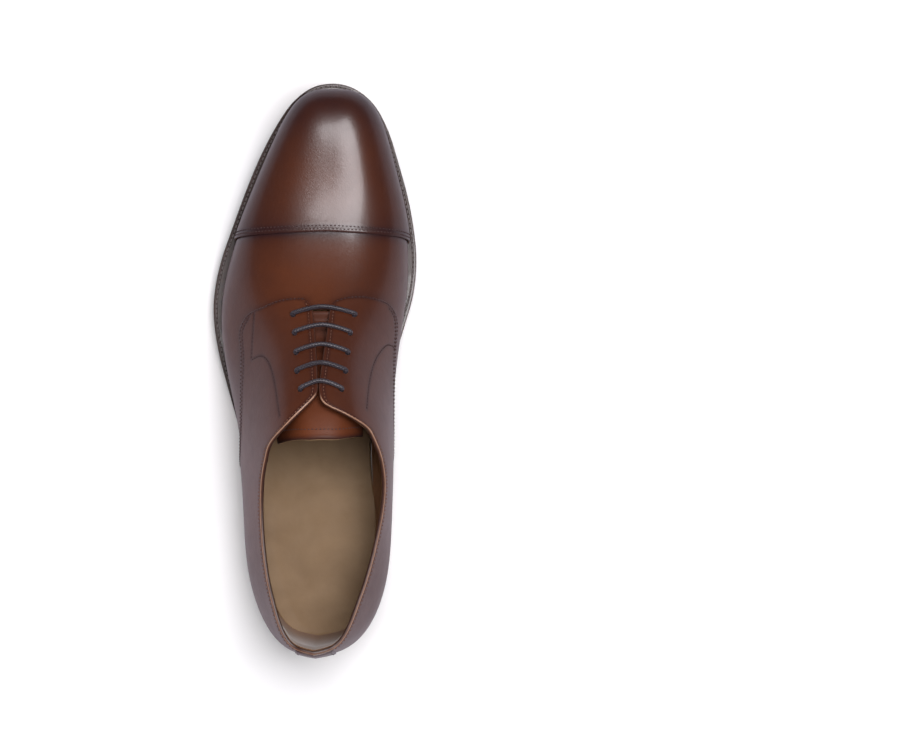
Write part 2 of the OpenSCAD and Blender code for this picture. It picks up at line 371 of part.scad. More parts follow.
module aglets() color([.1, .1, .1]) {
  a = unit(LC[0] - LC[1]); n = len(LC); b = unit(LC[n-1] - LC[n-2]);
  aglet(LC[0] + .1*a, LC[0] + a + [0, 0, -.12]);
  aglet(LC[n-1] + .1*b, LC[n-1] + b + [0, 0, -.12]);
}

toe_cap();
vamp();
quarter_lateral();
quarter_medial();
stay_lateral();
stay_medial();
back_strip();
topline_binding();
vamp_lining();
quarter_lining();
heel_grip();
tongue();
tongue_lining();
toe_puff();
heel_counter();
insole();
sock_lining();
heel_pad();
cork_filler();
shank();
welt();
outsole();
forepart_rubber();
heel_wedge();
heel_lift_upper();
heel_lift_lower();
heel_rubber_layer();
heel_top_piece_leather();
heel_top_piece_rubber();
heel_nails();
eyelets();
lace();
aglets();
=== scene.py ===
import bpy, math
import numpy as np
from mathutils import Vector, Matrix, kdtree

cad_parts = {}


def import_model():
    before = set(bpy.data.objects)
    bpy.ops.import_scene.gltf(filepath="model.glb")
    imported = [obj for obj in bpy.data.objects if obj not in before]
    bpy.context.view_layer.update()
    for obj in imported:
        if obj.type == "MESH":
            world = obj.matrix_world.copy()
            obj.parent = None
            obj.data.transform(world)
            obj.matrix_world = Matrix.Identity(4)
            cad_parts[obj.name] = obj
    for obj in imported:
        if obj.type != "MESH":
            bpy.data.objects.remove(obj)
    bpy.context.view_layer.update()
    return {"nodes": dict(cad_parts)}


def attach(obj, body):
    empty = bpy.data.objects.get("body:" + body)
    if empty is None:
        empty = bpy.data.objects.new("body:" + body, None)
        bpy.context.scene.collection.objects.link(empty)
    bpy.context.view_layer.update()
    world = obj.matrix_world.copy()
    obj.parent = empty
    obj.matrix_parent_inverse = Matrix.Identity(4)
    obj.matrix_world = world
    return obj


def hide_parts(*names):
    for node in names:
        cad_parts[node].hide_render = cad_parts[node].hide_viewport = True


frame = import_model()
scene = bpy.context.scene
MM = 0.001

# ------------------------------------------------------------------ camera
cam_data = bpy.data.cameras.new("Camera")
cam_data.lens = 111.3
cam_data.sensor_width = 36
cam_data.clip_start, cam_data.clip_end = 0.05, 20
cam = bpy.data.objects.new("Camera", cam_data)
cam.location = (0.0720, -0.0003, 1.5)
cam.rotation_euler = (0, 0, 0)
scene.collection.objects.link(cam)
scene.camera = cam

# ------------------------------------------------------------------ last surface (same functions as the CAD model, mm)
ST = np.array([
 [146, 10.5, 10.5, 32, 0, 0, 3, 10.5, 33, .10, .55, .50, .95, 0, .10, .50],
 [146.5, .8, 20.4, 31.5, 1, 1, 6, 10.5, 45, .10, .55, .50, .95, 0, .10, .50],
 [140, -8.2, 29.4, 29, 1.6, 2, 9, 10.5, 55, .09, .58, .46, .99, 0, .09, .46],
 [128, -15.5, 35.5, 25.5, 1.6, 2, 11, 10, 58.4, .08, .58, .45, 1, 0, .08, .45],
 [112, -23, 39.5, 22, 1.6, 2, 12, 9.5, 57.8, .08, .58, .45, 1, 0, .08, .45],
 [94, -31, 44.5, 18.5, 1.6, 2, 12, 9, 56, .08, .58, .45, 1, 0, .08, .45],
 [74, -39, 48.5, 15, 2, 2.2, 13, 8.5, 56.5, .10, .58, .47, .98, 0, .09, .47],
 [54, -45, 49.5, 12.8, 2.5, 2.5, 14, 8, 62, .14, .58, .50, .96, 0, .12, .50],
 [34, -48.5, 46, 12.5, 3, 4.5, 17, 7.5, 71, .25, .56, .56, .95, 0, .18, .56],
 [12, -46.5, 38, 14.5, 4, 9.5, 21, 7, 88, .34, .51, .62, .94, 0, .24, .61],
 [-10, -41, 33, 16.5, 5, 12, 24, 7, 106, .34, .52, .65, .95, 0, .20, .58],
 [-34, -35.5, 31.5, 18.5, 5, 11.5, 26, 7, 119, .30, .53, .64, .96, 0, .06, .41],
 [-60, -32, 33, 20.5, 5.5, 9.5, 27, 6.5, 123, .31, .52, .60, .98, 0, -.02, .46],
 [-86, -30.5, 35, 22, 6, 7, 28, 5.5, 120, .35, .52, .58, 1, 0, .18, .55],
 [-108, -29, 34.5, 23.5, 5.5, 6, 28, 4.5, 120, .38, .52, .58, 1, -1, .32, .56],
 [-128, -23, 29, 24.5, 4.5, 5, 28, 3.5, 120, .38, .52, .60, 1, -3, .38, .60],
 [-141, -14, 20, 25, 2, 2, 28, 3, 120, .34, .52, .62, 1, -6, .36, .62],
 [-143.6, 3, 3, 25.5, 0, 0, 28, 3, 120, .30, .52, .62, 1, -6.2, .30, .62]], float)
UE = 17.0


def four(P, t):
    n = P.shape[-2] if P.ndim > 2 else len(P)
    q = np.clip(t, 0, n - 1.00001)
    i = np.floor(q).astype(int)
    return i, (q - i)[..., None]


def ext(P):
    return np.concatenate([2*P[:1] - P[1:2], P, 2*P[-1:] - P[-2:-1]], 0)


def bs(P, t):
    P = np.asarray(P, float); t = np.asarray(t, float)
    i, f = four(P, t); E = ext(P)
    return ((1-f)**3*E[i] + (3*f**3 - 6*f**2 + 4)*E[i+1] + (-3*f**3 + 3*f**2 + 3*f + 1)*E[i+2] + f**3*E[i+3])/6


def cr(P, t):
    P = np.asarray(P, float); t = np.asarray(t, float)
    i, f = four(P, t); E = ext(P)
    a, b, c, d = E[i], E[i+1], E[i+2], E[i+3]
    return (2*b + (c-a)*f + (2*a - 5*b + 4*c - d)*f**2 + (3*b - a - 3*c + d)*f**3)/2


def sm(x, a, b):
    t = np.clip((np.asarray(x, float) - a)/(b - a), 0, 1)
    return t*t*(3 - 2*t)


def mix(a, b, t):
    return a + (b - a)*t


def S(u, v):
    u, v = np.broadcast_arrays(np.asarray(u, float), np.asarray(v, float))
    p = bs(ST, u)
    y, x0, x1, zf, bl, br, hb, xt, zt, c1, e1, c2, e2, q, m1, m2 = [p[..., k] for k in range(16)]
    h = zt - zf - hb; wl = x0 - bl; wr = x1 + br; z1 = zf + hb
    C = [(x0, y, zf), (x0 - .85*bl, y + .75*q, zf + .33*hb), (wl, y + q, z1),
         (wl + (xt-wl)*c1, y + .6*q, z1 + h*e1), (wl + (xt-wl)*c2, y - 1.2*q, z1 + h*e2), (xt, y - 3*q, zt),
         (wr + (xt-wr)*m2, y - 1.2*q, z1 + h*e2), (wr + (xt-wr)*m1, y + .6*q, z1 + h*e1),
         (wr, y + q, z1), (x1 + .85*br, y + .75*q, zf + .33*hb), (x1, y, zf)]
    C = np.stack([np.stack(c, -1) for c in C], -2)
    E = np.concatenate([2*C[..., :1, :] - C[..., 1:2, :], C, 2*C[..., -1:, :] - C[..., -2:-1, :]], -2)
    w = np.clip(v, 0, 10 - 1e-5); i = np.floor(w).astype(int); f = (w - i)[..., None]
    g = lambda k: np.take_along_axis(E, np.repeat((i + k)[..., None, None], 3, -1), -2)[..., 0, :]
    return ((1-f)**3*g(0) + (3*f**3 - 6*f**2 + 4)*g(1) + (-3*f**3 + 3*f**2 + 3*f + 1)*g(2) + f**3*g(3))/6


def unit(a):
    return a/np.maximum(np.linalg.norm(a, axis=-1, keepdims=True), 1e-12)


def N(u, v):
    u, v = np.broadcast_arrays(np.asarray(u, float), np.asarray(v, float))
    w = np.clip(v, .1, 9.9); q = np.clip(u, .4, UE - .05)
    b = S(u, w + .05) - S(u, w - .05)
    nb = unit(np.stack([0*u, -np.where(v < 5, 1, -1)*b[..., 2], np.where(v < 5, 1, -1)*b[..., 1]], -1))
    a = S(q + .04, w) - S(q - .04, w); b2 = S(q, w + .05) - S(q, w - .05)
    n = unit(np.cross(a, b2))
    k = sm(u, UE - .35, UE - .02)[..., None]
    return unit(n*(1-k) + nb*k)


def at(u, v, d=0.0):
    d = np.asarray(d, float)
    return S(u, v) + (d[..., None] if d.ndim else d)*N(u, v)


_uu = np.arange(1, UE + .01, .05); _yy = bs(ST, _uu)[:, 0]
def uy(y):
    return np.interp(-np.asarray(y, float), -_yy, _uu)
_zz = bs(ST, _uu)[:, 3]
def zf(y):
    return np.interp(-np.asarray(y, float), -_yy, _zz)


def near(i, j, x, y, u, v, n=12):
    for _ in range(n):
        p = S(u, v); a = (S(u+.02, v) - S(u-.02, v))/.04; b = (S(u, v+.02) - S(u, v-.02))/.04
        dx = x - p[i]; dy = y - p[j]; k = a[i]*b[j] - a[j]*b[i]
        u, v = (float(np.clip(u + np.clip((dx*b[j] - dy*b[i])/k, -1, 1), .05, UE)),
                float(np.clip(v + np.clip((a[i]*dy - a[j]*dx)/k, -.6, .6), 0, 10)))
    return (u, v)
def pxy(x, y): return near(0, 1, x, y, float(uy(y)), 5 + (x-7)/16)
def pyz(y, z, lat): return near(1, 2, y, z, float(uy(y)), 3. if lat else 7.)
def feather(y, lat): return (float(uy(y)), 0. if lat else 10.)
def vback(z, lat):
    a, b = 0, 4.6
    for _ in range(24):
        m = (a+b)/2
        if S(UE, m)[2] < z: a = m
        else: b = m
    return m if lat else 10 - m


T, F_ = True, False
LQ = [(pxy(-3.2, 36.2), pxy(-.8, 33.8)), (pxy(-14.7, 35.2), pxy(1.2, 30)), (pxy(-25, 31.4), pxy(2, 26)),
      (pxy(-33.5, 27.2), pxy(2.8, 19)), (pyz(19, 52, T), pxy(3.6, 13)), (pyz(8, 55, T), pxy(4.4, 5)),
      (pyz(-7, 57, T), pxy(5.2, -5)), (pyz(-26, 55, T), pxy(5.4, -11)), (pyz(-39, 49, T), pxy(2.5, -15.7)),
      (pyz(-48, 42, T), pxy(-9.7, -27.7)), (pyz(-53.5, 32, T), pyz(-38, 97.5, T)),
      (feather(-56, T), pyz(-47, 91.8, T)), (feather(-64, T), pyz(-58, 86, T)),
      (feather(-78, T), pyz(-72, 82.2, T)), (feather(-94, T), pyz(-90, 81.8, T)),
      (feather(-110, T), pyz(-108, 84.4, T)), (feather(-125, T), pyz(-122, 87.4, T)),
      ((16, 0), (16, vback(88.8, T))), ((16.5, 0), (16.5, vback(90.2, T))), ((UE, 0), (UE, vback(90.8, T)))]
MQ = [(pxy(13.5, 34.8), pxy(11.3, 32.5)), (pxy(21, 36.8), pxy(10.6, 29.5)), (pxy(31, 36.6), pxy(10, 26)),
      (pxy(41.2, 32.6), pxy(9.4, 19)), (pyz(24, 44.5, F_), pxy(8.7, 13)), (pyz(12, 45.5, F_), pxy(7.7, 5)),
      (pyz(-7, 48, F_), pxy(6.7, -5)), (pyz(-26, 48.5, F_), pxy(6.4, -11)), (pyz(-39, 44.5, F_), pxy(9.2, -17.2)),
      (pyz(-48, 38.5, F_), pxy(20.2, -22.8)), (pyz(-53.5, 30, F_), pxy(30.4, -29.6)),
      (feather(-56, F_), pyz(-37, 96.8, F_)), (feather(-64, F_), pyz(-46.5, 90.9, F_)),
      (feather(-74, F_), pyz(-60, 85.4, F_)), (feather(-86, F_), pyz(-76, 82.2, F_)),
      (feather(-98, F_), pyz(-92, 81.9, F_)), (feather(-112, F_), pyz(-108, 84.4, F_)),
      (feather(-126, F_), pyz(-122, 87.4, F_)),
      ((16, 10), (16, vback(88.8, F_))), ((16.5, 10), (16.5, vback(90.2, F_))), ((UE, 10), (UE, vback(90.8, F_)))]
LLO, LTOP = np.array([p[0] for p in LQ], float), np.array([p[1] for p in LQ], float)
MLO, MTOP = np.array([p[0] for p in MQ], float), np.array([p[1] for p in MQ], float)
NL, NM = len(LQ) - 1, len(MQ) - 1


def quad(lo, top, s, t):
    """surface coordinates in a quarter: s along it, t from lower to upper edge"""
    return mix(cr(lo, s), cr(top, s), np.asarray(t)[..., None])


A1, A2, B1, B2, C1, C2 = .3, -.8, -1.3, -2.2, -3.4, -4.2
HL = [(-8.3, 27), (-7.1, 17.5), (-5.9, 7.5), (-5.1, -2), (-3, -11)]
HM = [(22.8, 27), (20.8, 17.5), (19.9, 7.5), (19.1, -2), (17.5, -11)]

# ------------------------------------------------------------------ materials
def new_mat(name):
    m = bpy.data.materials.new(name); m.use_nodes = True
    nt = m.node_tree; nt.nodes.clear()
    out = nt.nodes.new("ShaderNodeOutputMaterial"); b = nt.nodes.new("ShaderNodeBsdfPrincipled")
    nt.links.new(b.outputs[0], out.inputs[0])
    return m, nt, b


def node(nt, kind, **kw):
    n = nt.nodes.new(kind)
    for k, v in kw.items():
        if k in n.inputs: n.inputs[k].default_value = v
        else: setattr(n, k, v)
    return n


def noise(nt, co, scale, detail=4, rough=.55, dist=0):
    n = node(nt, "ShaderNodeTexNoise", Scale=scale, Detail=detail, Roughness=rough, Distortion=dist)
    nt.links.new(co, n.inputs["Vector"]); return n.outputs["Fac"]


def ramp(nt, fac, stops):
    r = nt.nodes.new("ShaderNodeValToRGB"); e = r.color_ramp.elements
    while len(e) < len(stops): e.new(.5)
    for q, (p, c) in zip(e, stops): q.position = p; q.color = (*c, 1)
    nt.links.new(fac, r.inputs[0]); return r.outputs[0]


def math_(nt, op, a, b=None, c=None, clamp=False):
    m = node(nt, "ShaderNodeMath", operation=op, use_clamp=clamp)
    for i, x in enumerate((a, b, c)):
        if x is None: continue
        if isinstance(x, (int, float)): m.inputs[i].default_value = x
        else: nt.links.new(x, m.inputs[i])
    return m.outputs[0]


def mixc(nt, fac, a, b, blend="MIX"):
    m = node(nt, "ShaderNodeMix", data_type="RGBA", blend_type=blend)
    for s, x in ((0, fac), (6, a), (7, b)):
        if isinstance(x, (int, float)): m.inputs[s].default_value = x
        elif isinstance(x, tuple): m.inputs[s].default_value = (*x, 1)
        else: nt.links.new(x, m.inputs[s])
    return m.outputs[2]


def bump(nt, bsdf, height, dist, strength=1.0, prev=None):
    b = node(nt, "ShaderNodeBump", Strength=strength, Distance=dist)
    nt.links.new(height, b.inputs["Height"])
    if prev is not None: nt.links.new(prev, b.inputs["Normal"])
    nt.links.new(b.outputs[0], bsdf.inputs["Normal"]); return b.outputs[0]


def coords(nt):
    return node(nt, "ShaderNodeTexCoord").outputs["Object"]


def leather_upper(name, light=(.104, .0290, .0100), mid=(.056, .0150, .0066), dark=(.0135, .0048, .0082), coat=.25, rough=.34, spec=.40):
    """polished calf: colour runs light to dark with the patina attribute painted on each piece; on the vamp and the
    tongue that attribute also carries painted shade
    """
    m, nt, b = new_mat(name); co = coords(nt)
    at_ = node(nt, "ShaderNodeAttribute", attribute_name="patina").outputs["Fac"]
    big = noise(nt, co, 26, 3, .5, .3); sml = noise(nt, co, 130, 5, .62, .4)
    f = math_(nt, "ADD", at_, math_(nt, "MULTIPLY", math_(nt, "SUBTRACT", big, .5), .30))
    f = math_(nt, "ADD", f, math_(nt, "MULTIPLY", math_(nt, "SUBTRACT", sml, .5), .16), clamp=True)
    c = ramp(nt, f, [(0, light), (.38, mid), (.72, tuple(mix(np.array(mid), np.array(dark), .62))), (1, dark)])
    c = mixc(nt, math_(nt, "MULTIPLY", noise(nt, co, 900, 3, .6), .22), c, (.30, .10, .035), "SOFT_LIGHT")
    nt.links.new(c, b.inputs["Base Color"])
    r = math_(nt, "ADD", rough - .05, math_(nt, "MULTIPLY", sml, .12))
    nt.links.new(r, b.inputs["Roughness"])
    b.inputs["Coat Weight"].default_value = coat; b.inputs["Coat Roughness"].default_value = .17
    b.inputs["Specular IOR Level"].default_value = spec; b.inputs["Coat IOR"].default_value = 1.5
    v = node(nt, "ShaderNodeTexVoronoi", Scale=1500., feature="SMOOTH_F1"); nt.links.new(co, v.inputs["Vector"])
    n1 = bump(nt, b, v.outputs["Distance"], .00005, .55)
    n2 = bump(nt, b, noise(nt, co, 420, 4, .6), .00010, .55, n1)
    bump(nt, b, noise(nt, co, 38, 3, .5), .0006, .22, n2)
    return m


def simple(name, c1, c2, scale, rough=.7, bscale=300, bdist=.0001, spec=.4, sheen=0., lo=.3, hi=.7, coat=0):
    m, nt, b = new_mat(name); co = coords(nt)
    f = noise(nt, co, scale, 5, .6, .3)
    nt.links.new(ramp(nt, f, [(lo, c1), (hi, c2)]), b.inputs["Base Color"])
    r = math_(nt, "ADD", rough - .08, math_(nt, "MULTIPLY", noise(nt, co, scale*3, 3), .16)); nt.links.new(r, b.inputs["Roughness"])
    b.inputs["Specular IOR Level"].default_value = spec
    if sheen: b.inputs["Sheen Weight"].default_value = sheen
    if coat: b.inputs["Coat Weight"].default_value = coat
    bump(nt, b, noise(nt, co, bscale, 4, .6), bdist, .6)
    return m


def layered(name, c1, c2, band_mm, rough=.62):
    """cut sole-leather edge: fine fibre layers along the edge"""
    m, nt, b = new_mat(name); co = coords(nt)
    mp = node(nt, "ShaderNodeMapping"); nt.links.new(co, mp.inputs[0]); mp.inputs["Scale"].default_value = (1, 1, 14)
    f = noise(nt, mp.outputs[0], 90, 6, .65, .2)
    g = noise(nt, mp.outputs[0], 420, 4, .6)
    c = ramp(nt, f, [(.28, c1), (.72, c2)])
    c = mixc(nt, math_(nt, "MULTIPLY", g, .45), c, tuple(np.array(c1)*.45))
    nt.links.new(c, b.inputs["Base Color"]); b.inputs["Roughness"].default_value = rough
    n1 = bump(nt, b, g, .00012, .7); bump(nt, b, f, .00025, .4, n1)
    return m


M_UP = leather_upper("upper_calf")
M_TON = leather_upper("tongue_calf", (.130, .036, .0115), (.082, .022, .0080), (.016, .007, .007), .02, .60, .22)
M_EDGE = simple("upper_cut_edge", (.060, .024, .014), (.105, .045, .026), 300, .6, 800, .00008)
M_LIN = simple("lining_calf", (.30, .185, .095), (.37, .235, .125), 60, .62, 700, .00008, .35)
# painted shade: the quarter lining is a darker copy of the tan lining calf, standing in for the shade on the inside
# walls of the shoe
M_LIN_SHADED = simple("quarter_lining_calf", (.165, .080, .038), (.215, .108, .052), 60, .58, 700, .00008, .35)
M_GRIP = simple("heel_grip_suede", (.15, .078, .038), (.20, .105, .052), 90, .85, 900, .00015, .2, .3)
M_SOCK = simple("sock_calf", (.175, .108, .052), (.222, .142, .073), 40, .58, 520, .00007, .25)
M_THR = simple("thread_dark", (.030, .014, .014), (.060, .026, .022), 2500, .55, 5000, .00004)
M_THR2 = simple("thread_brown", (.11, .045, .025), (.18, .08, .045), 2500, .55, 5000, .00004)
M_WELT = simple("welt_dark", (.024, .014, .012), (.050, .027, .021), 160, .42, 500, .00012, .5, coat=.2)
M_WSTITCH = simple("welt_thread", (.13, .11, .11), (.20, .175, .17), 2000, .6, 4000, .00005)
M_OUT = layered("outsole_edge", (.19, .105, .058), (.31, .185, .108), 1)
M_OUTB = simple("outsole_face", (.27, .165, .09), (.36, .23, .135), 30, .5, 300, .0001, .4)
M_LIFT = layered("heel_lift_leather", (.25, .15, .088), (.38, .245, .155), 1)
M_RUB = simple("rubber_black", (.014, .014, .018), (.026, .026, .032), 120, .62, 900, .0001, .4)
M_CORK = simple("cork", (.32, .19, .09), (.50, .33, .18), 260, .85, 300, .0003, .2)
M_FIB = simple("fibreboard", (.50, .42, .30), (.62, .54, .40), 200, .85, 600, .0001, .2)


def metal(name, c, rough):
    m, nt, b = new_mat(name); co = coords(nt)
    nt.links.new(ramp(nt, noise(nt, co, 300, 4), [(.3, tuple(np.array(c)*.75)), (.7, c)]), b.inputs["Base Color"])
    b.inputs["Metallic"].default_value = 1
    nt.links.new(math_(nt, "ADD", rough, math_(nt, "MULTIPLY", noise(nt, co, 700, 3), .15)), b.inputs["Roughness"])
    bump(nt, b, noise(nt, co, 1200, 3), .00003, .4)
    return m
M_STEEL, M_BRASS = metal("spring_steel", (.55, .55, .57), .3), metal("brass_plain", (.75, .55, .25), .28)


def lace_mat():
    m, nt, b = new_mat("waxed_lace")
    uv = node(nt, "ShaderNodeAttribute", attribute_name="lace_uv").outputs["Vector"]
    s = node(nt, "ShaderNodeSeparateXYZ"); nt.links.new(uv, s.inputs[0])
    a = math_(nt, "ADD", math_(nt, "MULTIPLY", s.outputs[0], 4200.), math_(nt, "MULTIPLY", s.outputs[1], 6.2832*3))
    c = math_(nt, "SUBTRACT", math_(nt, "MULTIPLY", s.outputs[0], 4200.), math_(nt, "MULTIPLY", s.outputs[1], 6.2832*3))
    h = math_(nt, "MAXIMUM", math_(nt, "SINE", a), math_(nt, "SINE", c))
    f = math_(nt, "MULTIPLY_ADD", h, .5, .5)
    nt.links.new(ramp(nt, f, [(0, (.006, .005, .007)), (.6, (.022, .018, .024)), (1, (.048, .040, .050))]), b.inputs["Base Color"])
    b.inputs["Roughness"].default_value = .48
    b.inputs["Coat Weight"].default_value = .15
    bump(nt, b, f, .00022, .8)
    return m
M_LACE = lace_mat()

# ------------------------------------------------------------------ mesh helpers
def obj(name, V, F, mats, body="shoe", rep=(), idx=None, smooth=True, attrs=None, sharp=None):
    me = bpy.data.meshes.new(name)
    me.from_pydata((np.asarray(V, float)*MM).tolist(), [], [list(map(int, f)) for f in F]); me.update()
    o = bpy.data.objects.new(name, me); scene.collection.objects.link(o)
    for m in (mats if isinstance(mats, (list, tuple)) else [mats]): me.materials.append(m)
    if idx is not None: me.polygons.foreach_set("material_index", np.asarray(idx, np.int32))
    if smooth: me.polygons.foreach_set("use_smooth", np.ones(len(me.polygons), bool))
    for k, a in (attrs or {}).items():
        a = np.asarray(a, np.float32)
        if a.ndim == 1:
            t = me.attributes.new(k, "FLOAT", "POINT"); t.data.foreach_set("value", a)
        else:
            t = me.attributes.new(k, "FLOAT_VECTOR", "POINT"); t.data.foreach_set("vector", a.ravel())
    if sharp: me.set_sharp_from_angle(angle=math.radians(sharp))
    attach(o, body)
    if rep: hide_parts(*rep)
    return o


def grid_faces(n, m, off=0, flip=False, wrap=False):
    i, j = np.meshgrid(np.arange(n-1), np.arange(m if wrap else m-1), indexing="ij")
    a = off + i*m + j; b = off + i*m + (j+1) % m; c = off + (i+1)*m + (j+1) % m; d = off + (i+1)*m + j
    f = np.stack([a, d, c, b] if not flip else [a, b, c, d], -1).reshape(-1, 4)
    return f


def skin(O, I, flip=False):
    """closed solid between an outer and an inner grid of points"""
    n, m, _ = O.shape; k = n*m
    V = np.concatenate([O.reshape(-1, 3), I.reshape(-1, 3)])
    Fo = grid_faces(n, m, 0, flip); Fi = grid_faces(n, m, k, not flip)
    rim = np.concatenate([np.arange(m), np.arange(1, n)*m + m-1, (n-1)*m + np.arange(m-2, -1, -1), np.arange(n-2, 0, -1)*m])
    nx = np.roll(rim, -1)
    Fr = np.stack([rim, rim + k, nx + k, nx] if flip else [rim, nx, nx + k, rim + k], -1)
    return V, np.concatenate([Fo, Fi, Fr]), np.concatenate([np.zeros(len(Fo)), np.ones(len(Fi)), 2*np.ones(len(Fr))]).astype(int)


def arc(P):
    d = np.linalg.norm(np.diff(P, axis=0), axis=1)
    return np.concatenate([[0], np.cumsum(d)])


def resample(P, Q, step):
    s = arc(P); n = max(2, int(round(s[-1]/step)) + 1); t = np.linspace(0, s[-1], n)
    return np.stack([np.interp(t, s, P[:, k]) for k in range(3)], -1), unit(np.stack([np.interp(t, s, Q[:, k]) for k in range(3)], -1)), t


STITCH = []     # (points, strength) used to sink and darken the leather along seams
def stitches(name, rows, pitch=2.3, length=1.65, r=.27, lift=.10, mat=None, body="shoe", register=True):
    """sewing thread as separate short raised stitches; rows are (points, normals)"""
    V, F = [], []; off = 0
    for P, Q in rows:
        s = arc(P); tot = s[-1]; k = int(tot//pitch)
        if register: STITCH.append(P)
        for i in range(k):
            a = (i + .5)*pitch - length/2 + (tot - k*pitch)/2
            t = a + np.linspace(0, 1, 7)*length
            C = np.stack([np.interp(t, s, P[:, q]) for q in range(3)], -1); n = unit(np.stack([np.interp(t, s, Q[:, q]) for q in range(3)], -1))
            tt = unit(np.gradient(C, axis=0)); bi = unit(np.cross(n, tt)); x = np.linspace(-1, 1, 7)
            rr = r*np.sqrt(np.clip(1 - x**4, .06, 1)); C = C + n*((lift + .02) - .42*np.abs(x)**3)[:, None]
            g = np.arange(8)/8*2*np.pi
            ring = C[:, None, :] + rr[:, None, None]*(np.cos(g)[None, :, None]*bi[:, None, :] + np.sin(g)[None, :, None]*n[:, None, :])
            V.append(ring.reshape(-1, 3)); F.extend(grid_faces(7, 8, off, True, wrap=True).tolist())
            F.append(list(range(off, off + 8))); F.append(list(range(off + 55, off + 47, -1))); off += 56
    if not V: return None
    return obj(name, np.concatenate(V), F, mat or M_THR, body)


def row_uv(uv, d=A1):
    return at(uv[:, 0], uv[:, 1], d), N(uv[:, 0], uv[:, 1])


def inside(lo, top, s, dist, from_top=True):
    """surface coordinates a given distance (mm) in from a quarter's upper or lower edge"""
    tt = np.linspace(1, .35, 80) if from_top else np.linspace(0, .6, 80)
    out = []
    for q in s:
        g = quad(lo, top, np.full(80, q), tt); a = arc(S(g[:, 0], g[:, 1]))
        t = np.interp(dist, a, tt); out.append(quad(lo, top, np.array(q), np.array(t)))
    return np.array(out)


_mx = bs(ST, _uu); _my0, _my1 = (_mx[:, 1] + _mx[:, 2])/2, (_mx[:, 2] - _mx[:, 1])/2 + 3
def SO_MID(y):
    return np.interp(-y, -_yy, _my0), np.interp(-y, -_yy, _my1)


# ------------------------------------------------------------------ seam lines
sl = np.linspace(.25, NL - .02, 420); smd = np.linspace(.25, NM - .02, 420)
rows_top = [row_uv(inside(LLO, LTOP, sl, 2.4)), row_uv(inside(MLO, MTOP, smd, 2.4))]
slo = np.linspace(.0, 10.9, 260)
rows_lo1 = [row_uv(inside(LLO, LTOP, slo, 1.5, False)), row_uv(inside(MLO, MTOP, slo, 1.5, False))]
slo2 = np.linspace(3.1, 10.9, 220)
rows_lo2 = [row_uv(inside(LLO, LTOP, slo2, 3.9, False)), row_uv(inside(MLO, MTOP, slo2, 3.9, False))]
def cap_u(v, dy=0.):
    return uy(70 + dy + 1 - .8*np.abs(v-5) + np.where(v > 5, -.3*(v-5), 0))
vv = np.linspace(.05, 9.95, 300)
rows_cap = [row_uv(np.stack([cap_u(vv, 1.3), vv], -1)), row_uv(np.stack([cap_u(vv, 3.0), vv], -1))]


def uvline(pts, n=200):
    P = np.array(pts, float); return cr(P, np.linspace(0, len(P)-1, n))
fl = uvline([pxy(-29, 28.5), pxy(-29.5, 20), pxy(-30, 10), pxy(-30, 4)], 80)
fl2 = uvline([pxy(-30, 4), pxy(-27.5, 5.4), pxy(-24, 6), pxy(-21, 3.6), pxy(-18.6, -1), pxy(-16.6, -8), pxy(-15, -16), pxy(-13.4, -24.5)], 220)
fm = uvline([pxy(42.4, 30.5), pxy(43, 22), pxy(43.3, 14), pxy(43.2, 9.5)], 80)
fm2 = uvline([pxy(43.2, 9.5), pxy(41.6, 11.4), pxy(39, 11.6), pxy(35.8, 8), pxy(33.2, 3), pxy(31.4, -4), pxy(30.4, -12), pxy(29.8, -21)], 220)
rows_in = [row_uv(fl), row_uv(fl2), row_uv(fm), row_uv(fm2)]
for P, _ in rows_top + rows_lo1 + rows_lo2 + rows_cap + rows_in: STITCH.append(P)
tree_pts = np.concatenate(STITCH)
kd = kdtree.KDTree(len(tree_pts))
for i, p in enumerate(tree_pts): kd.insert(p, i)
kd.balance()
STITCH.clear()


def seam_dist(P, cap=6.):
    shp = P.shape[:-1]; Q = P.reshape(-1, 3); out = np.full(len(Q), cap)
    for i, p in enumerate(Q):
        r = kd.find(p)
        if r[2] is not None: out[i] = min(cap, r[2])
    return out.reshape(shp)


def patina(P, kind="quarter"):
    """0 light, 1 burnished dark"""
    x, y, z = P[..., 0], P[..., 1], P[..., 2]
    h = z - zf(y)
    g = SO_MID(y); side = np.abs(x - g[0])/g[1]
    a = .34 + 0*x
    a = a + .30*sm(y, 108, 146) + .22*sm(side, .45, 1.)*sm(y, 40, 95)      # toe tip and flanks of the cap
    a = a + .30*sm(-h, -13, 1)                                             # along the welt
    a = a - .26*np.exp(-((y-47)/24)**2)*sm(-side, -.75, -.1) - .10*np.exp(-((y-96)/20)**2)*sm(-side, -.6, -.05)
    a = a + .14*np.exp(-((y-73)/7)**2)
    a = a - .16*np.exp(-((y+62)/36)**2)*sm(h, 14, 34)
    a = a + .22*sm(-y, 118, 146)*sm(-h, -26, -4) + .08*sm(-y, 128, 150)
    return a


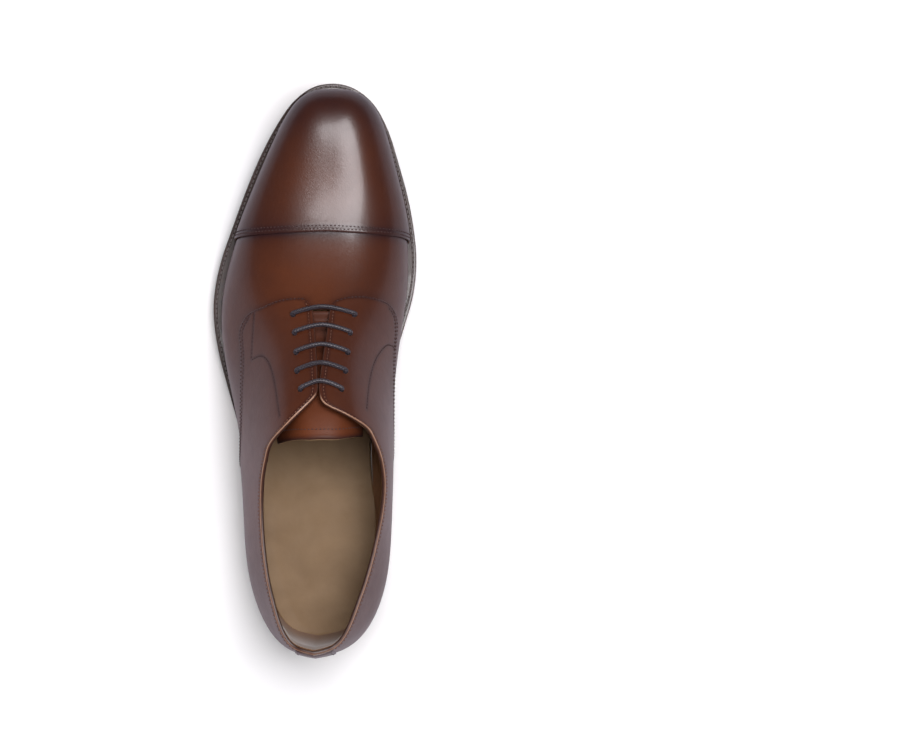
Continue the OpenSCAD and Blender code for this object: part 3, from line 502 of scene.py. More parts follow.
def leather_piece(name, U, Vv, lo_off, hi_off, flip, rep, edge=None, extra=0., body="shoe", drop=0.0, rough_edges=True, pat=None):
    """outer leather piece over a grid of surface coordinates, with sunk seams and rounded edges"""
    P0 = at(U, Vv, hi_off); n = N(U, Vv)
    d = seam_dist(P0)
    sink = .10*np.exp(-(d/.55)**2)
    off = -sink
    if edge is not None: off = off - edge
    O = P0 + n*off[..., None]
    I = at(U, Vv, lo_off)
    k = drop*sm(-np.minimum(Vv, 10 - Vv), -.55, 0); O[..., 2] -= k; I[..., 2] -= k
    V, F, idx = skin(O, I, flip)
    a = (patina(P0) if pat is None else pat(P0)) + .30*np.exp(-(d/1.0)**2) + extra
    if edge is not None: a = a + np.clip(edge, 0, .8)*.55
    att = np.concatenate([a.ravel(), a.ravel()])
    mi = np.where(idx == 1, 1, np.where(idx == 2, 2, 0))
    return obj(name, V, F, [M_UP, M_LIN, M_EDGE if rough_edges else M_UP], body, rep, mi, attrs={"patina": att}, sharp=50)


def edge_round(d, r=.9, depth=.45):
    """how far the surface drops within r of an edge at distance d"""
    x = np.clip(1 - d/r, 0, 1)
    return depth*(1 - np.sqrt(np.clip(1 - x*x, 0, 1)))


# ------------------------------------------------------------------ toe cap
vg = np.linspace(0, 10, 181)
ti = np.concatenate([np.linspace(0, .9, 90)**1.25, 1 - (np.linspace(1, 0, 12)[1:]**1.3)*(1 - .9**1.25)])
U = .012 + (cap_u(vg)[None, :] - .012)*ti[:, None]; Vv = np.repeat(vg[None], len(ti), 0)
Pc = S(U, Vv); de = np.linalg.norm(Pc - Pc[-1:], axis=-1)
toe = leather_piece("toe_cap_leather", U, Vv, A2, A1, False, ["toe_cap"], edge_round(de, .9, .5) + .0)

# ------------------------------------------------------------------ vamp
def vamp_u(v):
    e = np.abs(v-5)
    return uy(np.where(e < 2, 31 - 6*sm(e, 1, 2), np.where(e < 2.3, mix(25, -36, (e-2)/.3), mix(-36, -60, sm(e, 2.3, 3.9)))))
vw = np.unique(np.concatenate([np.linspace(0, 2.6, 44), np.linspace(2.6, 3.1, 40), np.linspace(3.1, 6.9, 70), np.linspace(6.9, 7.4, 40), np.linspace(7.4, 10, 44)]))
tv = np.linspace(0, 1, 150)
U = uy(80) + (vamp_u(vw)[None, :] - uy(80))*tv[:, None]; Vv = np.repeat(vw[None], len(tv), 0)
Pv = at(U, Vv, B1)
# shade under the overlapping edges
capline = at(cap_u(vg), vg, A1)
def vamp_patina_and_shade(P):
    a = patina(P)
    x, y = P[..., 0], P[..., 1]
    # painted shade: the vamp is darkened under and just behind the toe cap's edge
    a = a + .35*np.exp(-np.clip(70 - y, 0, 99)/2.2)
    d = seam_dist(P, 9.)
    # painted shade: darker within a few mm of the seams, under the edges of the quarters and the cap
    return a + .22*np.exp(-(d/3.2)**2)
vamp = leather_piece("vamp_leather", U, Vv, B2, B1, False, ["vamp"], pat=vamp_patina_and_shade, drop=1.1)

# ------------------------------------------------------------------ quarters
def quarter(name, lo, top, n, holes, flip, rep):
    s = np.unique(np.concatenate([np.linspace(0, 11.4, 300), np.linspace(11.4, n, 170)]))
    t = np.unique(np.concatenate([np.linspace(0, .07, 9), np.linspace(.07, .93, 84), np.linspace(.93, 1, 9)]))
    Sg, Tg = np.meshgrid(s, t, indexing="ij")
    g = quad(lo, top, Sg, Tg); P = S(g[..., 0], g[..., 1])
    acc = np.concatenate([np.zeros((len(s), 1)), np.cumsum(np.linalg.norm(np.diff(P, axis=1), axis=-1), 1)], 1)
    d0 = acc + 9*sm(Sg, 10.6, 11.2); d1 = acc[:, -1:] - acc
    d0e = np.minimum(acc, np.linalg.norm(P - P[:1], axis=-1))
    e = edge_round(np.where(Sg < 10.9, d0e, 9), .9, .5) + edge_round(d1, 1.1, .55)
    dark = .0
    o = leather_piece(name, g[..., 0], g[..., 1], A2, A1, flip, rep, e)
    # punched lace holes
    bm_V, bm_F = [], []; off = 0
    for (x, y) in holes:
        u, v = pxy(x, y); c = at(u, v, 0.); nn = N(u, v)
        a = unit(np.cross(nn, [0, 1, 0])); b = np.cross(nn, a); k = np.arange(24)/24*2*np.pi
        for h in (-3, 3):
            bm_V.append(c + nn*h + 1.5*(np.cos(k)[:, None]*a + np.sin(k)[:, None]*b))
        bm_F += [[off+i, off+(i+1) % 24, off+24+(i+1) % 24, off+24+i] for i in range(24)] + [list(range(off+23, off-1, -1)), list(range(off+24, off+48))]
        off += 48
    cm = bpy.data.meshes.new("cut"); cm.from_pydata((np.concatenate(bm_V)*MM).tolist(), [], bm_F); co = bpy.data.objects.new("cut", cm); scene.collection.objects.link(co)
    md = o.modifiers.new("holes", "BOOLEAN"); md.operation = "DIFFERENCE"; md.solver = "EXACT"; md.object = co
    dg = bpy.context.evaluated_depsgraph_get(); me = bpy.data.meshes.new_from_object(o.evaluated_get(dg)); o.modifiers.clear(); old = o.data; o.data = me
    bpy.data.meshes.remove(old); bpy.data.objects.remove(co); bpy.data.meshes.remove(cm)
    return o
ql = quarter("quarter_lateral_leather", LLO, LTOP, NL, HL, False, ["quarter_lateral"])
qm = quarter("quarter_medial_leather", MLO, MTOP, NM, HM, True, ["quarter_medial"])

# ------------------------------------------------------------------ stitching
stitches("cap_seam_thread", rows_cap, 2.0, 1.3, .27, .08, register=False)
stitches("collar_and_facing_thread", rows_top, 2.0, 1.3, .22, .07, M_THR2, register=False)
stitches("quarter_front_thread", rows_lo1 + rows_lo2, 2.0, 1.3, .27, .08, register=False)
stitches("facing_inner_thread", rows_in, 2.0, 1.3, .27, .08, register=False)

# ------------------------------------------------------------------ back strip
jj = np.linspace(0, 1, 60); ii = np.linspace(-1, 1, 61)
I_, J_ = np.meshgrid(ii, jj, indexing="ij")
hw = mix(.38, 1, sm(J_, .2, 1)); Ub = UE - .75*np.abs(I_)*hw
tv_ = lambda u: np.interp(u, [16, 16.5, UE], [vback(88.8, True), vback(90.2, True), vback(90.8, True)]) - .012
Vb0 = mix(.25, tv_(Ub), J_); Vb = np.where(I_ <= 0, Vb0, 10 - Vb0)
ed = np.minimum((1 - np.abs(I_))*9, 9)
flare = .12*sm(J_, .86, .99); top_e = np.minimum(np.linalg.norm(S(Ub, Vb) - S(Ub, Vb)[:, -1:], axis=-1), 9)
P1_ = at(Ub, Vb, A1 + .70) + N(Ub, Vb)*(flare - edge_round(np.minimum(ed, top_e), .8, .5))[..., None]; P2_ = at(Ub, Vb, A1 + .05)
V, F, idx = skin(P1_, P2_, False)
a = patina(P1_) + .25*np.exp(-(ed/1.2)**2) + .1
obj("back_strip_leather", V, F, [M_UP], rep=["back_strip"], attrs={"patina": np.concatenate([a.ravel(), a.ravel()])}, sharp=50)
rws = []
for sgn in (-1, 1):
    j = np.linspace(.03, .97, 120); h = mix(.38, 1, sm(j, .2, 1)); u = UE - .75*h*.84
    vb = mix(.25, tv_(u), j); vb = vb if sgn < 0 else 10 - vb
    rws.append((at(u, vb, A1 + .68), N(u, vb)))
stitches("back_strip_thread", rws, 2.0, 1.5, .20, .05, register=False)

# ------------------------------------------------------------------ collar edge, rolled, lateral facing to medial facing
def collar_uv(w, s0=.35):
    w = np.asarray(w, float)
    a = cr(LTOP, mix(s0, NL, np.clip(w, 0, 1))); b = cr(MTOP, mix(NM, s0, np.clip(w-1, 0, 1)))
    return np.where((w <= 1)[..., None], a, b)
w = np.linspace(0, 2, 900); g = collar_uv(w); E0 = at(g[:, 0], g[:, 1], 0.); En = N(g[:, 0], g[:, 1])
tan = unit(np.gradient(E0, axis=0)); up = unit(np.cross(En, tan)); up = up*np.sign((up*[0, 0, 1]).sum(-1) + 1e-9 + 0*up[:, 0])[:, None]
# "up" points out of the leather, past its edge
for k in range(len(up)):
    inner_ = quad(LLO, LTOP, np.array(mix(.35, NL, w[k])), np.array(.95)) if w[k] <= 1 else quad(MLO, MTOP, np.array(mix(NM, .35, w[k]-1)), np.array(.95))
    q = E0[k] - S(inner_[0], inner_[1])
    if np.dot(q, up[k]) < 0: up[k] = -up[k]
fac = sm(np.minimum(w*NL*1.0, (2-w)*NM), 6.8, 7.8)           # 0 along the facings, 1 round the collar
o_out = mix(.10, .18, fac); o_in = mix(-1.0, -1.75, fac); hgt = mix(.18, .62, fac)
prof = np.linspace(0, np.pi, 15); ring = []
for q in prof:
    c, s_ = np.cos(q), np.sin(q); o_ = (o_out + o_in)/2 + (o_out - o_in)/2*np.sign(c)*np.abs(c)**.7
    ring.append(E0 + En*o_[:, None] + up*(hgt*np.abs(s_)**.7 - .3*(1-np.abs(s_)))[:, None])
R = np.stack(ring + [E0 + En*(o_in*.9)[:, None] - up*.6, E0 + En*(o_out*.2)[:, None] - up*.6], 1); n_, m_ = R.shape[:2]
F = grid_faces(n_, m_, 0, False, wrap=True).tolist() + [list(range(m_)), list(range((n_-1)*m_ + m_ - 1, (n_-1)*m_ - 1, -1))]
tone = np.concatenate([np.clip(1 - prof/np.pi*1.9, 0, 1), [0, .3]])[None]*mix(.25, 1., fac)[:, None]
def edge_mat():
    m, nt, b = new_mat("collar_edge"); co = coords(nt)
    a_ = node(nt, "ShaderNodeAttribute", attribute_name="tone").outputs["Fac"]
    f = math_(nt, "ADD", a_, math_(nt, "MULTIPLY", math_(nt, "SUBTRACT", noise(nt, co, 350, 4), .5), .25), clamp=True)
    nt.links.new(ramp(nt, f, [(0, (.030, .011, .007)), (.35, (.075, .026, .014)), (.75, (.34, .19, .12)), (1, (.42, .26, .175))]), b.inputs["Base Color"])
    nt.links.new(math_(nt, "ADD", .42, math_(nt, "MULTIPLY", f, .15)), b.inputs["Roughness"]); bump(nt, b, noise(nt, co, 900, 4), .00008, .6); return m
obj("collar_edge_leather", R.reshape(-1, 3), F, edge_mat(), rep=["topline_binding"], attrs={"tone": tone.ravel()})

# ------------------------------------------------------------------ linings
def lining(name, u, v, o1, o2, rep, mats, flip=False):
    V, F, idx = skin(at(u, v, o1), at(u, v, o2), flip)
    return obj(name, V, F, mats, rep=rep, sharp=50)
s = np.linspace(0, 2, 260); t = np.linspace(0, 1, 70)
Sg, Tg = np.meshgrid(s, t, indexing="ij")
sL = np.clip(Sg, 0, 1); sM = np.clip(2 - Sg, 0, 1)
topL = cr(LTOP, mix(1.9, NL, sL)); topM = cr(MTOP, mix(1.9, NM, sM))
gL = mix(np.stack([mix(uy(24), UE, sL), .12 + 0*sL], -1), topL, Tg[..., None]); gM = mix(np.stack([mix(uy(24), UE, sM), 9.88 + 0*sM], -1), topM, Tg[..., None])
g = np.where((Sg <= 1)[..., None], gL, gM); e = sm(Tg, .86, .99)
lining("quarter_lining_calf", g[..., 0], g[..., 1], mix(C1, -.95, e), mix(C2, -1.7, e), ["quarter_lining"], [M_LIN_SHADED])
tv2 = np.linspace(0, 1, 90); vv2 = np.linspace(.12, 9.88, 110)
U = .35 + (uy(33 - 1.2*np.abs(vv2-5))[None] - .35)*(tv2**1.1)[:, None]; Vv = np.repeat(vv2[None], 90, 0)
lining("vamp_lining_calf", U, Vv, C1, C2, ["vamp_lining"], [M_LIN])
i_ = np.linspace(-1, 1, 70); j_ = np.linspace(0, 1, 50); I_, J_ = np.meshgrid(i_, j_, indexing="ij")
ee = mix(.42, vback(86, True), J_)
ug = mix(UE, 15.2, np.abs(I_)); vt_ = np.interp(ug, [15.2, 16, 16.5, UE], [vback(87.6, True), vback(88.8, True), vback(90.2, True), vback(90.8, True)])
eg = sm(ee/vt_, .86, .99); fe = np.minimum(sm(1 - np.abs(I_), 0, .12), 1)
lining("heel_grip_leather", ug, np.where(I_ <= 0, ee, 10-ee), mix(C2 - .02, -1.72, eg), mix(C2 - .08, -1.78, eg) - .55*fe, ["heel_grip"], [M_GRIP])

# ------------------------------------------------------------------ tongue
def ton_d(u):
    return -2.4 - 3*sm(u, uy(30), uy(27)) - 2.2*sm(u, uy(27), uy(19)) - 5.4*sm(u, 10.3, 11.6)
def ton(k, a):
    """surface coordinates and depth station of the tongue; k along it, a across it"""
    u = mix(uy(30.5), 10.9, k); hw = mix(mix(.6, 1.5, sm(k, .1, .5)), np.where(a < 0, 2., 1.85), sm(k, .6, 1))
    return u + np.where(a < 0, .28, .06)*a*a*sm(k, .7, 1), 5 + hw*a, u
def ton_at(k, a, d):
    uu, vt, u0 = ton(k, a); return S(uu, vt) + N(uu, vt)*(ton_d(u0) - d)[..., None]
I_, J_ = np.meshgrid(np.concatenate([np.linspace(0, .93, 100), np.linspace(.93, 1, 14)[1:]]), np.linspace(-1, 1, 91), indexing="ij")
P0 = ton_at(I_, J_, 0*I_); dd = np.minimum(np.linalg.norm(P0 - P0[-1:], axis=-1), (1-np.abs(J_))*26)
seam = .12*np.exp(-((np.linalg.norm(P0 - P0[-1:], axis=-1) - 2.6)/.6)**2)
O = ton_at(I_, J_, edge_round(dd, .9, .5) + seam); I2 = ton_at(I_, J_, 1.1 + 0*I_)
V, F, idx = skin(O, I2, False)
# painted shade: the tongue is darker towards its sides, where the facings lie over it, and towards its front under the
# lacing; it is also darker along its cut edges
a = .20 + .55*np.exp(-(dd/1.6)**2) + .30*sm(O[..., 1], -14, 20) + .25*sm(np.abs(J_), .6, 1)
obj("tongue_leather", V, F, [M_TON, M_LIN, M_EDGE], "tongue", ["tongue"], np.where(idx == 1, 1, np.where(idx == 2, 2, 0)),
    attrs={"patina": np.concatenate([a.ravel(), a.ravel()])}, sharp=50)
V, F, idx = skin(ton_at(I_, J_, 1.35 + 0*I_), ton_at(I_, J_, 2. + 0*I_), False)
obj("tongue_lining_calf", V, F, [M_LIN], "tongue", ["tongue_lining"], sharp=50)
Je = np.linspace(-.93, .93, 200); Pe = ton_at(1 - .072 + 0*Je, Je, 0*Je)
e_ = ton(1 - .072 + 0*Je, Je); stitches("tongue_edge_thread", [(Pe, N(e_[0], e_[1]))], 2.0, 1.3, .27, .06, body="tongue", register=False)

# ------------------------------------------------------------------ sole
SO = np.array([[150.3, 8, 12, 25.3], [148.6, 0, 19.5, 24.3], [143.4, -8, 27.8, 22.2], [137, -14.2, 33.6, 19.5], [125, -22, 39.6, 16],
      [111, -29.4, 44, 14], [93, -37.2, 49, 11.3], [75, -44, 52.5, 8.6], [57, -50.4, 54, 5.6], [39.5, -54, 52.3, 3.3],
      [24, -54.1, 48, 2.5], [6, -51, 42.6, 3], [-14, -45.5, 38, 4.6], [-34, -40, 36, 8.2], [-56, -36.5, 36.5, 10.7],
      [-76, -35, 38, 13.6], [-96, -33.6, 38.4, 14.8], [-114, -31.6, 36.6, 15.7], [-128, -27.6, 32.6, 16.3], [-138, -20.6, 25.6, 16.8],
      [-145, -10, 15.5, 17], [-148, 0, 5.5, 17.2]], float)
so = cr(SO, np.linspace(0, len(SO)-1, 400))
_sy = np.arange(400)
def so_at(y): return np.stack([np.interp(-np.asarray(y, float), -so[:, 0], so[:, k]) for k in range(4)], -1)
def welt_b(y): return zf(y) - 3.6 - 1.3*sm(-np.asarray(y, float), 60, 85)


def loop(n=900):
    L = np.concatenate([so[:, [1, 0]], so[::-1][:, [2, 0]]]); L = np.concatenate([L, L[:1]])
    # round the blunt ends of the table
    s = np.concatenate([[0], np.cumsum(np.linalg.norm(np.diff(L, axis=0), axis=1))]); t = np.linspace(0, s[-1], n+1)[:-1]
    P = np.stack([np.interp(t, s, L[:, k]) for k in range(2)], -1)
    for _ in range(34): P = .5*P + .25*(np.roll(P, 1, 0) + np.roll(P, -1, 0))
    return P
L0 = loop()


def inset(P, w):
    t = np.roll(P, -1, 0) - np.roll(P, 1, 0); t = t/np.linalg.norm(t, axis=1, keepdims=True)
    nrm = np.stack([-t[:, 1], t[:, 0]], -1)
    return P + nrm*(np.asarray(w)[..., None] if np.ndim(w) else w)


def smooth_loop(P, k):
    for _ in range(k): P = .5*P + .25*(np.roll(P, 1, 0) + np.roll(P, -1, 0))
    return P


def slab(name, rings, mat, rep, close=True, idxf=None, body="shoe", sharp=40):
    """loft closed loops (each n x 3), capped by a central strip at both ends when close"""
    n = len(rings[0]); V = np.concatenate(rings); F = []
    for k in range(len(rings)-1):
        i = np.arange(n); j = (i+1) % n
        F += np.stack([k*n + i, k*n + j, (k+1)*n + j, (k+1)*n + i], -1).tolist()
    mi = [0]*len(F)
    if close:
        h = n//2
        for base, fl in ((0, True), ((len(rings)-1)*n, False)):
            for i in range(h-1):
                a, b, c, d = base + i, base + i + 1, base + (n-2-i), base + (n-1-i)
                f = [a, b, c, d] if b != c else [a, b, d]
                F.append(f[::-1] if not fl else f); mi.append(1)
    else:
        k = len(rings)-1; i = np.arange(n); j = (i+1) % n
        F += np.stack([k*n + i, k*n + j, j, i], -1).tolist(); mi += [0]*n
    return obj(name, V, F, mat, body, rep, mi if isinstance(mat, (list, tuple)) and len(mat) > 1 else None, sharp=sharp)


def z3(P, z): return np.concatenate([P, np.asarray(z)[:, None] + 0*P[:, :1]], 1)
# welt: rounded edge, a stitch channel on top
def wz(P): return zf(P[:, 1]) - .1
r0 = inset(L0, 6.); ch = 1.7
Wr = []
for w_, dz in ((6., 0.), (3.2, 0.), (ch+.5, 0.), (ch+.25, -.28), (ch, -.36), (ch-.25, -.28), (ch-.5, 0.), (.5, 0.), (.15, -.12), (0., -.5)):
    P = inset(L0, w_); Wr.append(z3(P, wz(P) + dz))
for w_, dz in ((0., .6), (.12, .18), (.4, .02)):
    P = inset(L0, w_); Wr.append(z3(P, welt_b(P[:, 1]) + dz))
P = inset(L0, 6.); Wr.append(z3(P, welt_b(P[:, 1])))
slab("welt_leather", Wr[::-1], [M_WELT], ["welt"], close=False)
P = inset(L0, ch); Pw = z3(P, wz(P) - .12); keep = P[:, 1] > -12
ks = np.where(keep)[0]; ks = np.sort(ks)
run = np.concatenate([Pw[ks[ks > 450]], Pw[ks[ks <= 450]]]) if (ks > 450).any() else Pw[ks]
stitches("welt_thread", [(run, np.repeat([[0, 0, 1.]], len(run), 0))], 2.6, 2.1, .34, .05, M_WSTITCH, register=False)
# outsole
Or = []
def ob(P): return so_at(P[:, 1])[:, 3]
for w_, f_ in ((1., "t"), (.25, "t1"), (.0, "t2")):
    P = inset(L0, w_); Or.append(z3(P, welt_b(P[:, 1]) - .2 - {"t": 0, "t1": .06, "t2": .3}[f_]))
for w_, dz in ((-.02, .9), (.0, .45), (.2, .12), (.6, .0)):
    P = inset(L0, w_); Or.append(z3(P, ob(P) + dz))
slab("outsole_leather", Or, [M_OUT, M_OUTB], ["outsole"])
# rubber forepart with a fine serrated edge
yy = np.linspace(128, -12, 561)
def side_pts(sgn):
    r = so_at(yy); x = (r[:, 1] if sgn < 0 else r[:, 2]); return x, r[:, 3]
xl, zb = side_pts(-1); xr, _ = side_pts(1)
th = mix(2.35, .8, sm(yy, 112, 128)); ztop = zb - .05; zbot = np.maximum(ztop - th, 0)
teeth = (np.mod(yy, 2.2) < 1.15)*.55*sm(yy, -12, -8)
rowsR = []
for k in range(len(yy)):
    tl = .2 + teeth[k]; zz0, zz1 = zbot[k], ztop[k]; h = zz1 - zz0
    L = [(xl[k] + .25, zz1), (xl[k] + .12, zz1 - .3*h), (xl[k] + .12 + .8*tl*0 + tl, zz1 - .45*h), (xl[k] + .2 + tl, zz0 + .1*h), (xl[k] + 1.1, zz0)]
    Rr = [(xr[k] - 1.1, zz0), (xr[k] - .2 - tl, zz0 + .1*h), (xr[k] - .12 - tl, zz1 - .45*h), (xr[k] - .12, zz1 - .3*h), (xr[k] - .25, zz1)]
    rowsR.append([(x, yy[k], z) for x, z in L + Rr])
Rg = np.array(rowsR); n_, m_ = Rg.shape[:2]
F = grid_faces(n_, m_, 0, False, wrap=True).tolist() + [list(range(m_)), list(range((n_-1)*m_ + m_ - 1, (n_-1)*m_ - 1, -1))]
obj("forepart_rubber_sole", Rg.reshape(-1, 3), F, [M_RUB], rep=["forepart_rubber"], sharp=35)

# ------------------------------------------------------------------ heel stack
HX = np.array([[-34.4, -74], [-34.2, -92], [-32.8, -108], [-29.2, -122], [-22.8, -134], [-13.6, -142], [-4, -145.8], [2.5, -146.5],
      [9, -145.8], [18.6, -142], [27.8, -134], [34.2, -122], [37.4, -108], [38, -92], [38, -68]], float)
hc = cr(HX, np.linspace(0, 14, 260))
tb = np.linspace(0, 1, 60)[1:-1]; br = np.stack([mix(38., -34.4, tb), mix(-68., -74., tb) - 7*np.sin(np.pi*tb)], -1)
HO = np.concatenate([hc, br])
def hscale(P, k): c = np.array([2., -108.]); return c + (P - c)*k


def hinset(P, w):
    q = inset(P, -w) if False else None
    t = np.roll(P, -1, 0) - np.roll(P, 1, 0); t = t/np.linalg.norm(t, axis=1, keepdims=True)
    nrm = np.stack([-t[:, 1], t[:, 0]], -1); c = np.array([2., -108.])
    sg = np.sign(((c - P)*nrm).sum(1)); sg[:260] = np.median(sg[:260]); sg[260:] = sg[259]
    w_ = w*np.ones(len(P)); return P + nrm*(sg*w_)[:, None]


def fan(V0, n, flip):
    return None


def lift(name, z0, z1, k, mat, slot, rep, clipf=None, topf=None, botf=None):
    rings = []
    base = hscale(HO, k)
    if clipf is not None: base = clipf(base)
    for w_, z in ((.5, z0), (.15, z0 + .06), (.0, z0 + .3), (.0, z1 - .3), (.15, z1 - .06), (.5, z1)):
        P = base + (np.array([2., (base[:, 1].min() + base[:, 1].max())/2]) - base)*(w_/36.)
        z_ = np.full(len(P), float(z))
        if topf is not None and z > (z0+z1)/2: z_ = topf(P, z - z1)
        rings.append(z3(P, z_))
    n = len(base); V = np.concatenate(rings); F = []
    orient = np.sign(np.sum(base[:, 0]*np.roll(base[:, 1], -1) - np.roll(base[:, 0], -1)*base[:, 1]))
    for q in range(len(rings)-1):
        i = np.arange(n); j = (i+1) % n
        f = np.stack([q*n + i, q*n + j, (q+1)*n + j, (q+1)*n + i], -1); F += (f if orient > 0 else f[:, ::-1]).tolist()
    a = list(range(n)); b = list(range((len(rings)-1)*n, len(rings)*n))
    F += [a[::-1] if orient > 0 else a, b if orient > 0 else b[::-1]]
    return obj(name, V, F, mat, "shoe", rep, sharp=35)
TP, LT = 3.7, 3.1
def clip_y(P, y, back):
    """part of a closed outline behind or in front of a straight cut"""
    out = []; n = len(P)
    for i in range(n):
        a, b = P[i], P[(i+1) % n]; ia, ib = ((q[1] < y) == back for q in (a, b))
        if ia: out.append(a)
        if ia != ib: t = (y - a[1])/(b[1] - a[1]); out.append(a + t*(b - a))
    return np.array(out)
def clip_front(P): return clip_y(P, -110., False)
def clip_back(P): return clip_y(P, -110.2, True)
lift("heel_top_piece_leather_part", 0, TP - .05, .985, [M_LIFT], "sole_leather", ["heel_top_piece_leather"], clip_front)
lift("heel_top_piece_rubber_part", 0, TP - .05, .985, [M_RUB], "rubber", ["heel_top_piece_rubber"], clip_back)
lift("heel_rubber_sheet", TP, 2*TP - .05, .99, [M_RUB], "rubber", ["heel_rubber_layer"])
lift("heel_lift_1", 2*TP, 2*TP + LT - .03, .995, [M_LIFT], "sole_leather", ["heel_lift_lower"])
z4 = 2*TP + 2*LT
lift("heel_lift_2", 2*TP + LT, z4 - .03, 1., [M_LIFT], "sole_leather", ["heel_lift_upper"],
     topf=lambda P, dz: np.minimum(z4 - .03, z4 - .15 - (P[:, 1] + 79)*math.tan(math.radians(9))) + dz)
# wedge
yw = np.linspace(-85, -147.4, 120); rw = so_at(yw); zt_ = np.maximum(rw[:, 3] - .05, z4 + .15)
Wg = np.array([[(rw[k, 1] + .5, yw[k], z4 + .02), (rw[k, 1] + .4, yw[k], z4 + .05), (rw[k, 1] + .4, yw[k], zt_[k] - .03), (rw[k, 1] + .5, yw[k], zt_[k]),
                (rw[k, 2] - .5, yw[k], zt_[k]), (rw[k, 2] - .4, yw[k], zt_[k] - .03), (rw[k, 2] - .4, yw[k], z4 + .05), (rw[k, 2] - .5, yw[k], z4 + .02)] for k in range(120)])
F = grid_faces(120, 8, 0, True, wrap=True).tolist() + [list(range(7, -1, -1)), list(range(119*8, 120*8))]
obj("heel_seat_wedge", Wg.reshape(-1, 3), F, [M_LIFT], rep=["heel_wedge"], sharp=35)

# ------------------------------------------------------------------ insole and sock lining
def inner(y, e):
    r = bs(ST, uy(np.maximum(y, -118))); k = np.where(y < -118, np.sqrt(np.clip(1 - ((y + 118)/20.4)**2, 0, 1)), 1)
    c = (r[:, 1] + r[:, 2])/2; w = (r[:, 2] - r[:, 1])/2 - e
    return c - w*k, c + w*k
def inner_plate(name, y, e, z0, z1, mat, rep, crown=0., m=61):
    """plate following the feather line; z0 and z1 are heights for every row"""
    xl, xr = inner(y, e); t = np.linspace(-1, 1, m); t = np.sign(t)*(1 - (1 - np.abs(t))**1.5)
    X = mix(xl[:, None], xr[:, None], (t[None]+1)/2); Y = np.repeat(y[:, None], m, 1); k = np.abs(t)[None]
    dist = (1 - k)*(xr - xl)[:, None]/2
    Zt = z1[:, None] + crown*sm(-dist, -9, 0) - .35*np.clip(1 - dist/.5, 0, 1)**2; Zb = z0[:, None] + 0*k
    V, F, idx = skin(np.stack([X, Y, Zt], -1), np.stack([X, Y, Zb], -1), False)
    return obj(name, V, F, mat, rep=rep, sharp=50)
yr = np.concatenate([np.linspace(138, -118, 200), -118 - 20*np.sin(np.linspace(0, np.pi/2, 30)[1:])])
inner_plate("insole_board", yr, 4.3 + 1.5*sm(yr, 125, 138), zf(yr) + .3, zf(yr) + 2.7, [M_OUTB], ["insole"])
def zsock(y): return zf(y) + 3.85 + 1.9*sm(-y, 58, 76)
def seat_edge(lat):
    """where the inside of the lining meets the sock's top, walked from toe to back seam"""
    out = []
    for u in np.concatenate([np.linspace(1.2, 15.5, 160), np.linspace(15.5, UE, 60)[1:]]):
        v = np.linspace(.02, 2.6, 60); v = v if lat else 10 - v
        q = at(np.full(60, u), v, C2 - .12); f = q[:, 2] - zsock(q[:, 1]); k = np.where((f[:-1] < 0) & (f[1:] >= 0))[0]
        if len(k): k = k[0]; t = f[k]/(f[k] - f[k+1]); out.append(q[k] + t*(q[k+1] - q[k]))
        else: out.append(q[0])
    return np.array(out)
EL, EM = seat_edge(True), seat_edge(False)
yb = max(EL[-1, 1], EM[-1, 1]) + .05; th = np.linspace(0, np.pi/2, 44)[1:]
ys = np.concatenate([np.linspace(132, -118, 220), -118 - (-118 - yb)*np.sin(th)])
def row_x(E, y): k = np.argsort(-E[:, 1], kind="stable"); return np.interp(-y, -E[k, 1], E[k, 0])
xs0, xs1 = row_x(EL, ys), row_x(EM, ys); fr_ = sm(ys, 118, 132)
xs0 = xs0 + .3 + 5*fr_; xs1 = xs1 - .3 - 5*fr_; mid = (xs0 + xs1)/2; xs0, xs1 = np.minimum(xs0, mid - .3), np.maximum(xs1, mid + .3)
_inner = inner
def inner(y, e): return (xs0, xs1) if len(y) == len(ys) else _inner(y, e)
inner_plate("sock_lining_calf", ys, 0*ys, zsock(ys) - 1.0, zsock(ys), [M_SOCK], ["sock_lining"], crown=.5)
yp = np.concatenate([np.linspace(-76, -118, 60), -118 - 18.6*np.sin(np.linspace(0, np.pi/2, 24)[1:])])
pad_ = inner_plate("heel_pad_foam", yp, 5.6 + 0*yp, zf(yp) + 2.75, zf(yp) + 4.65, [M_FIB], ["heel_pad"])

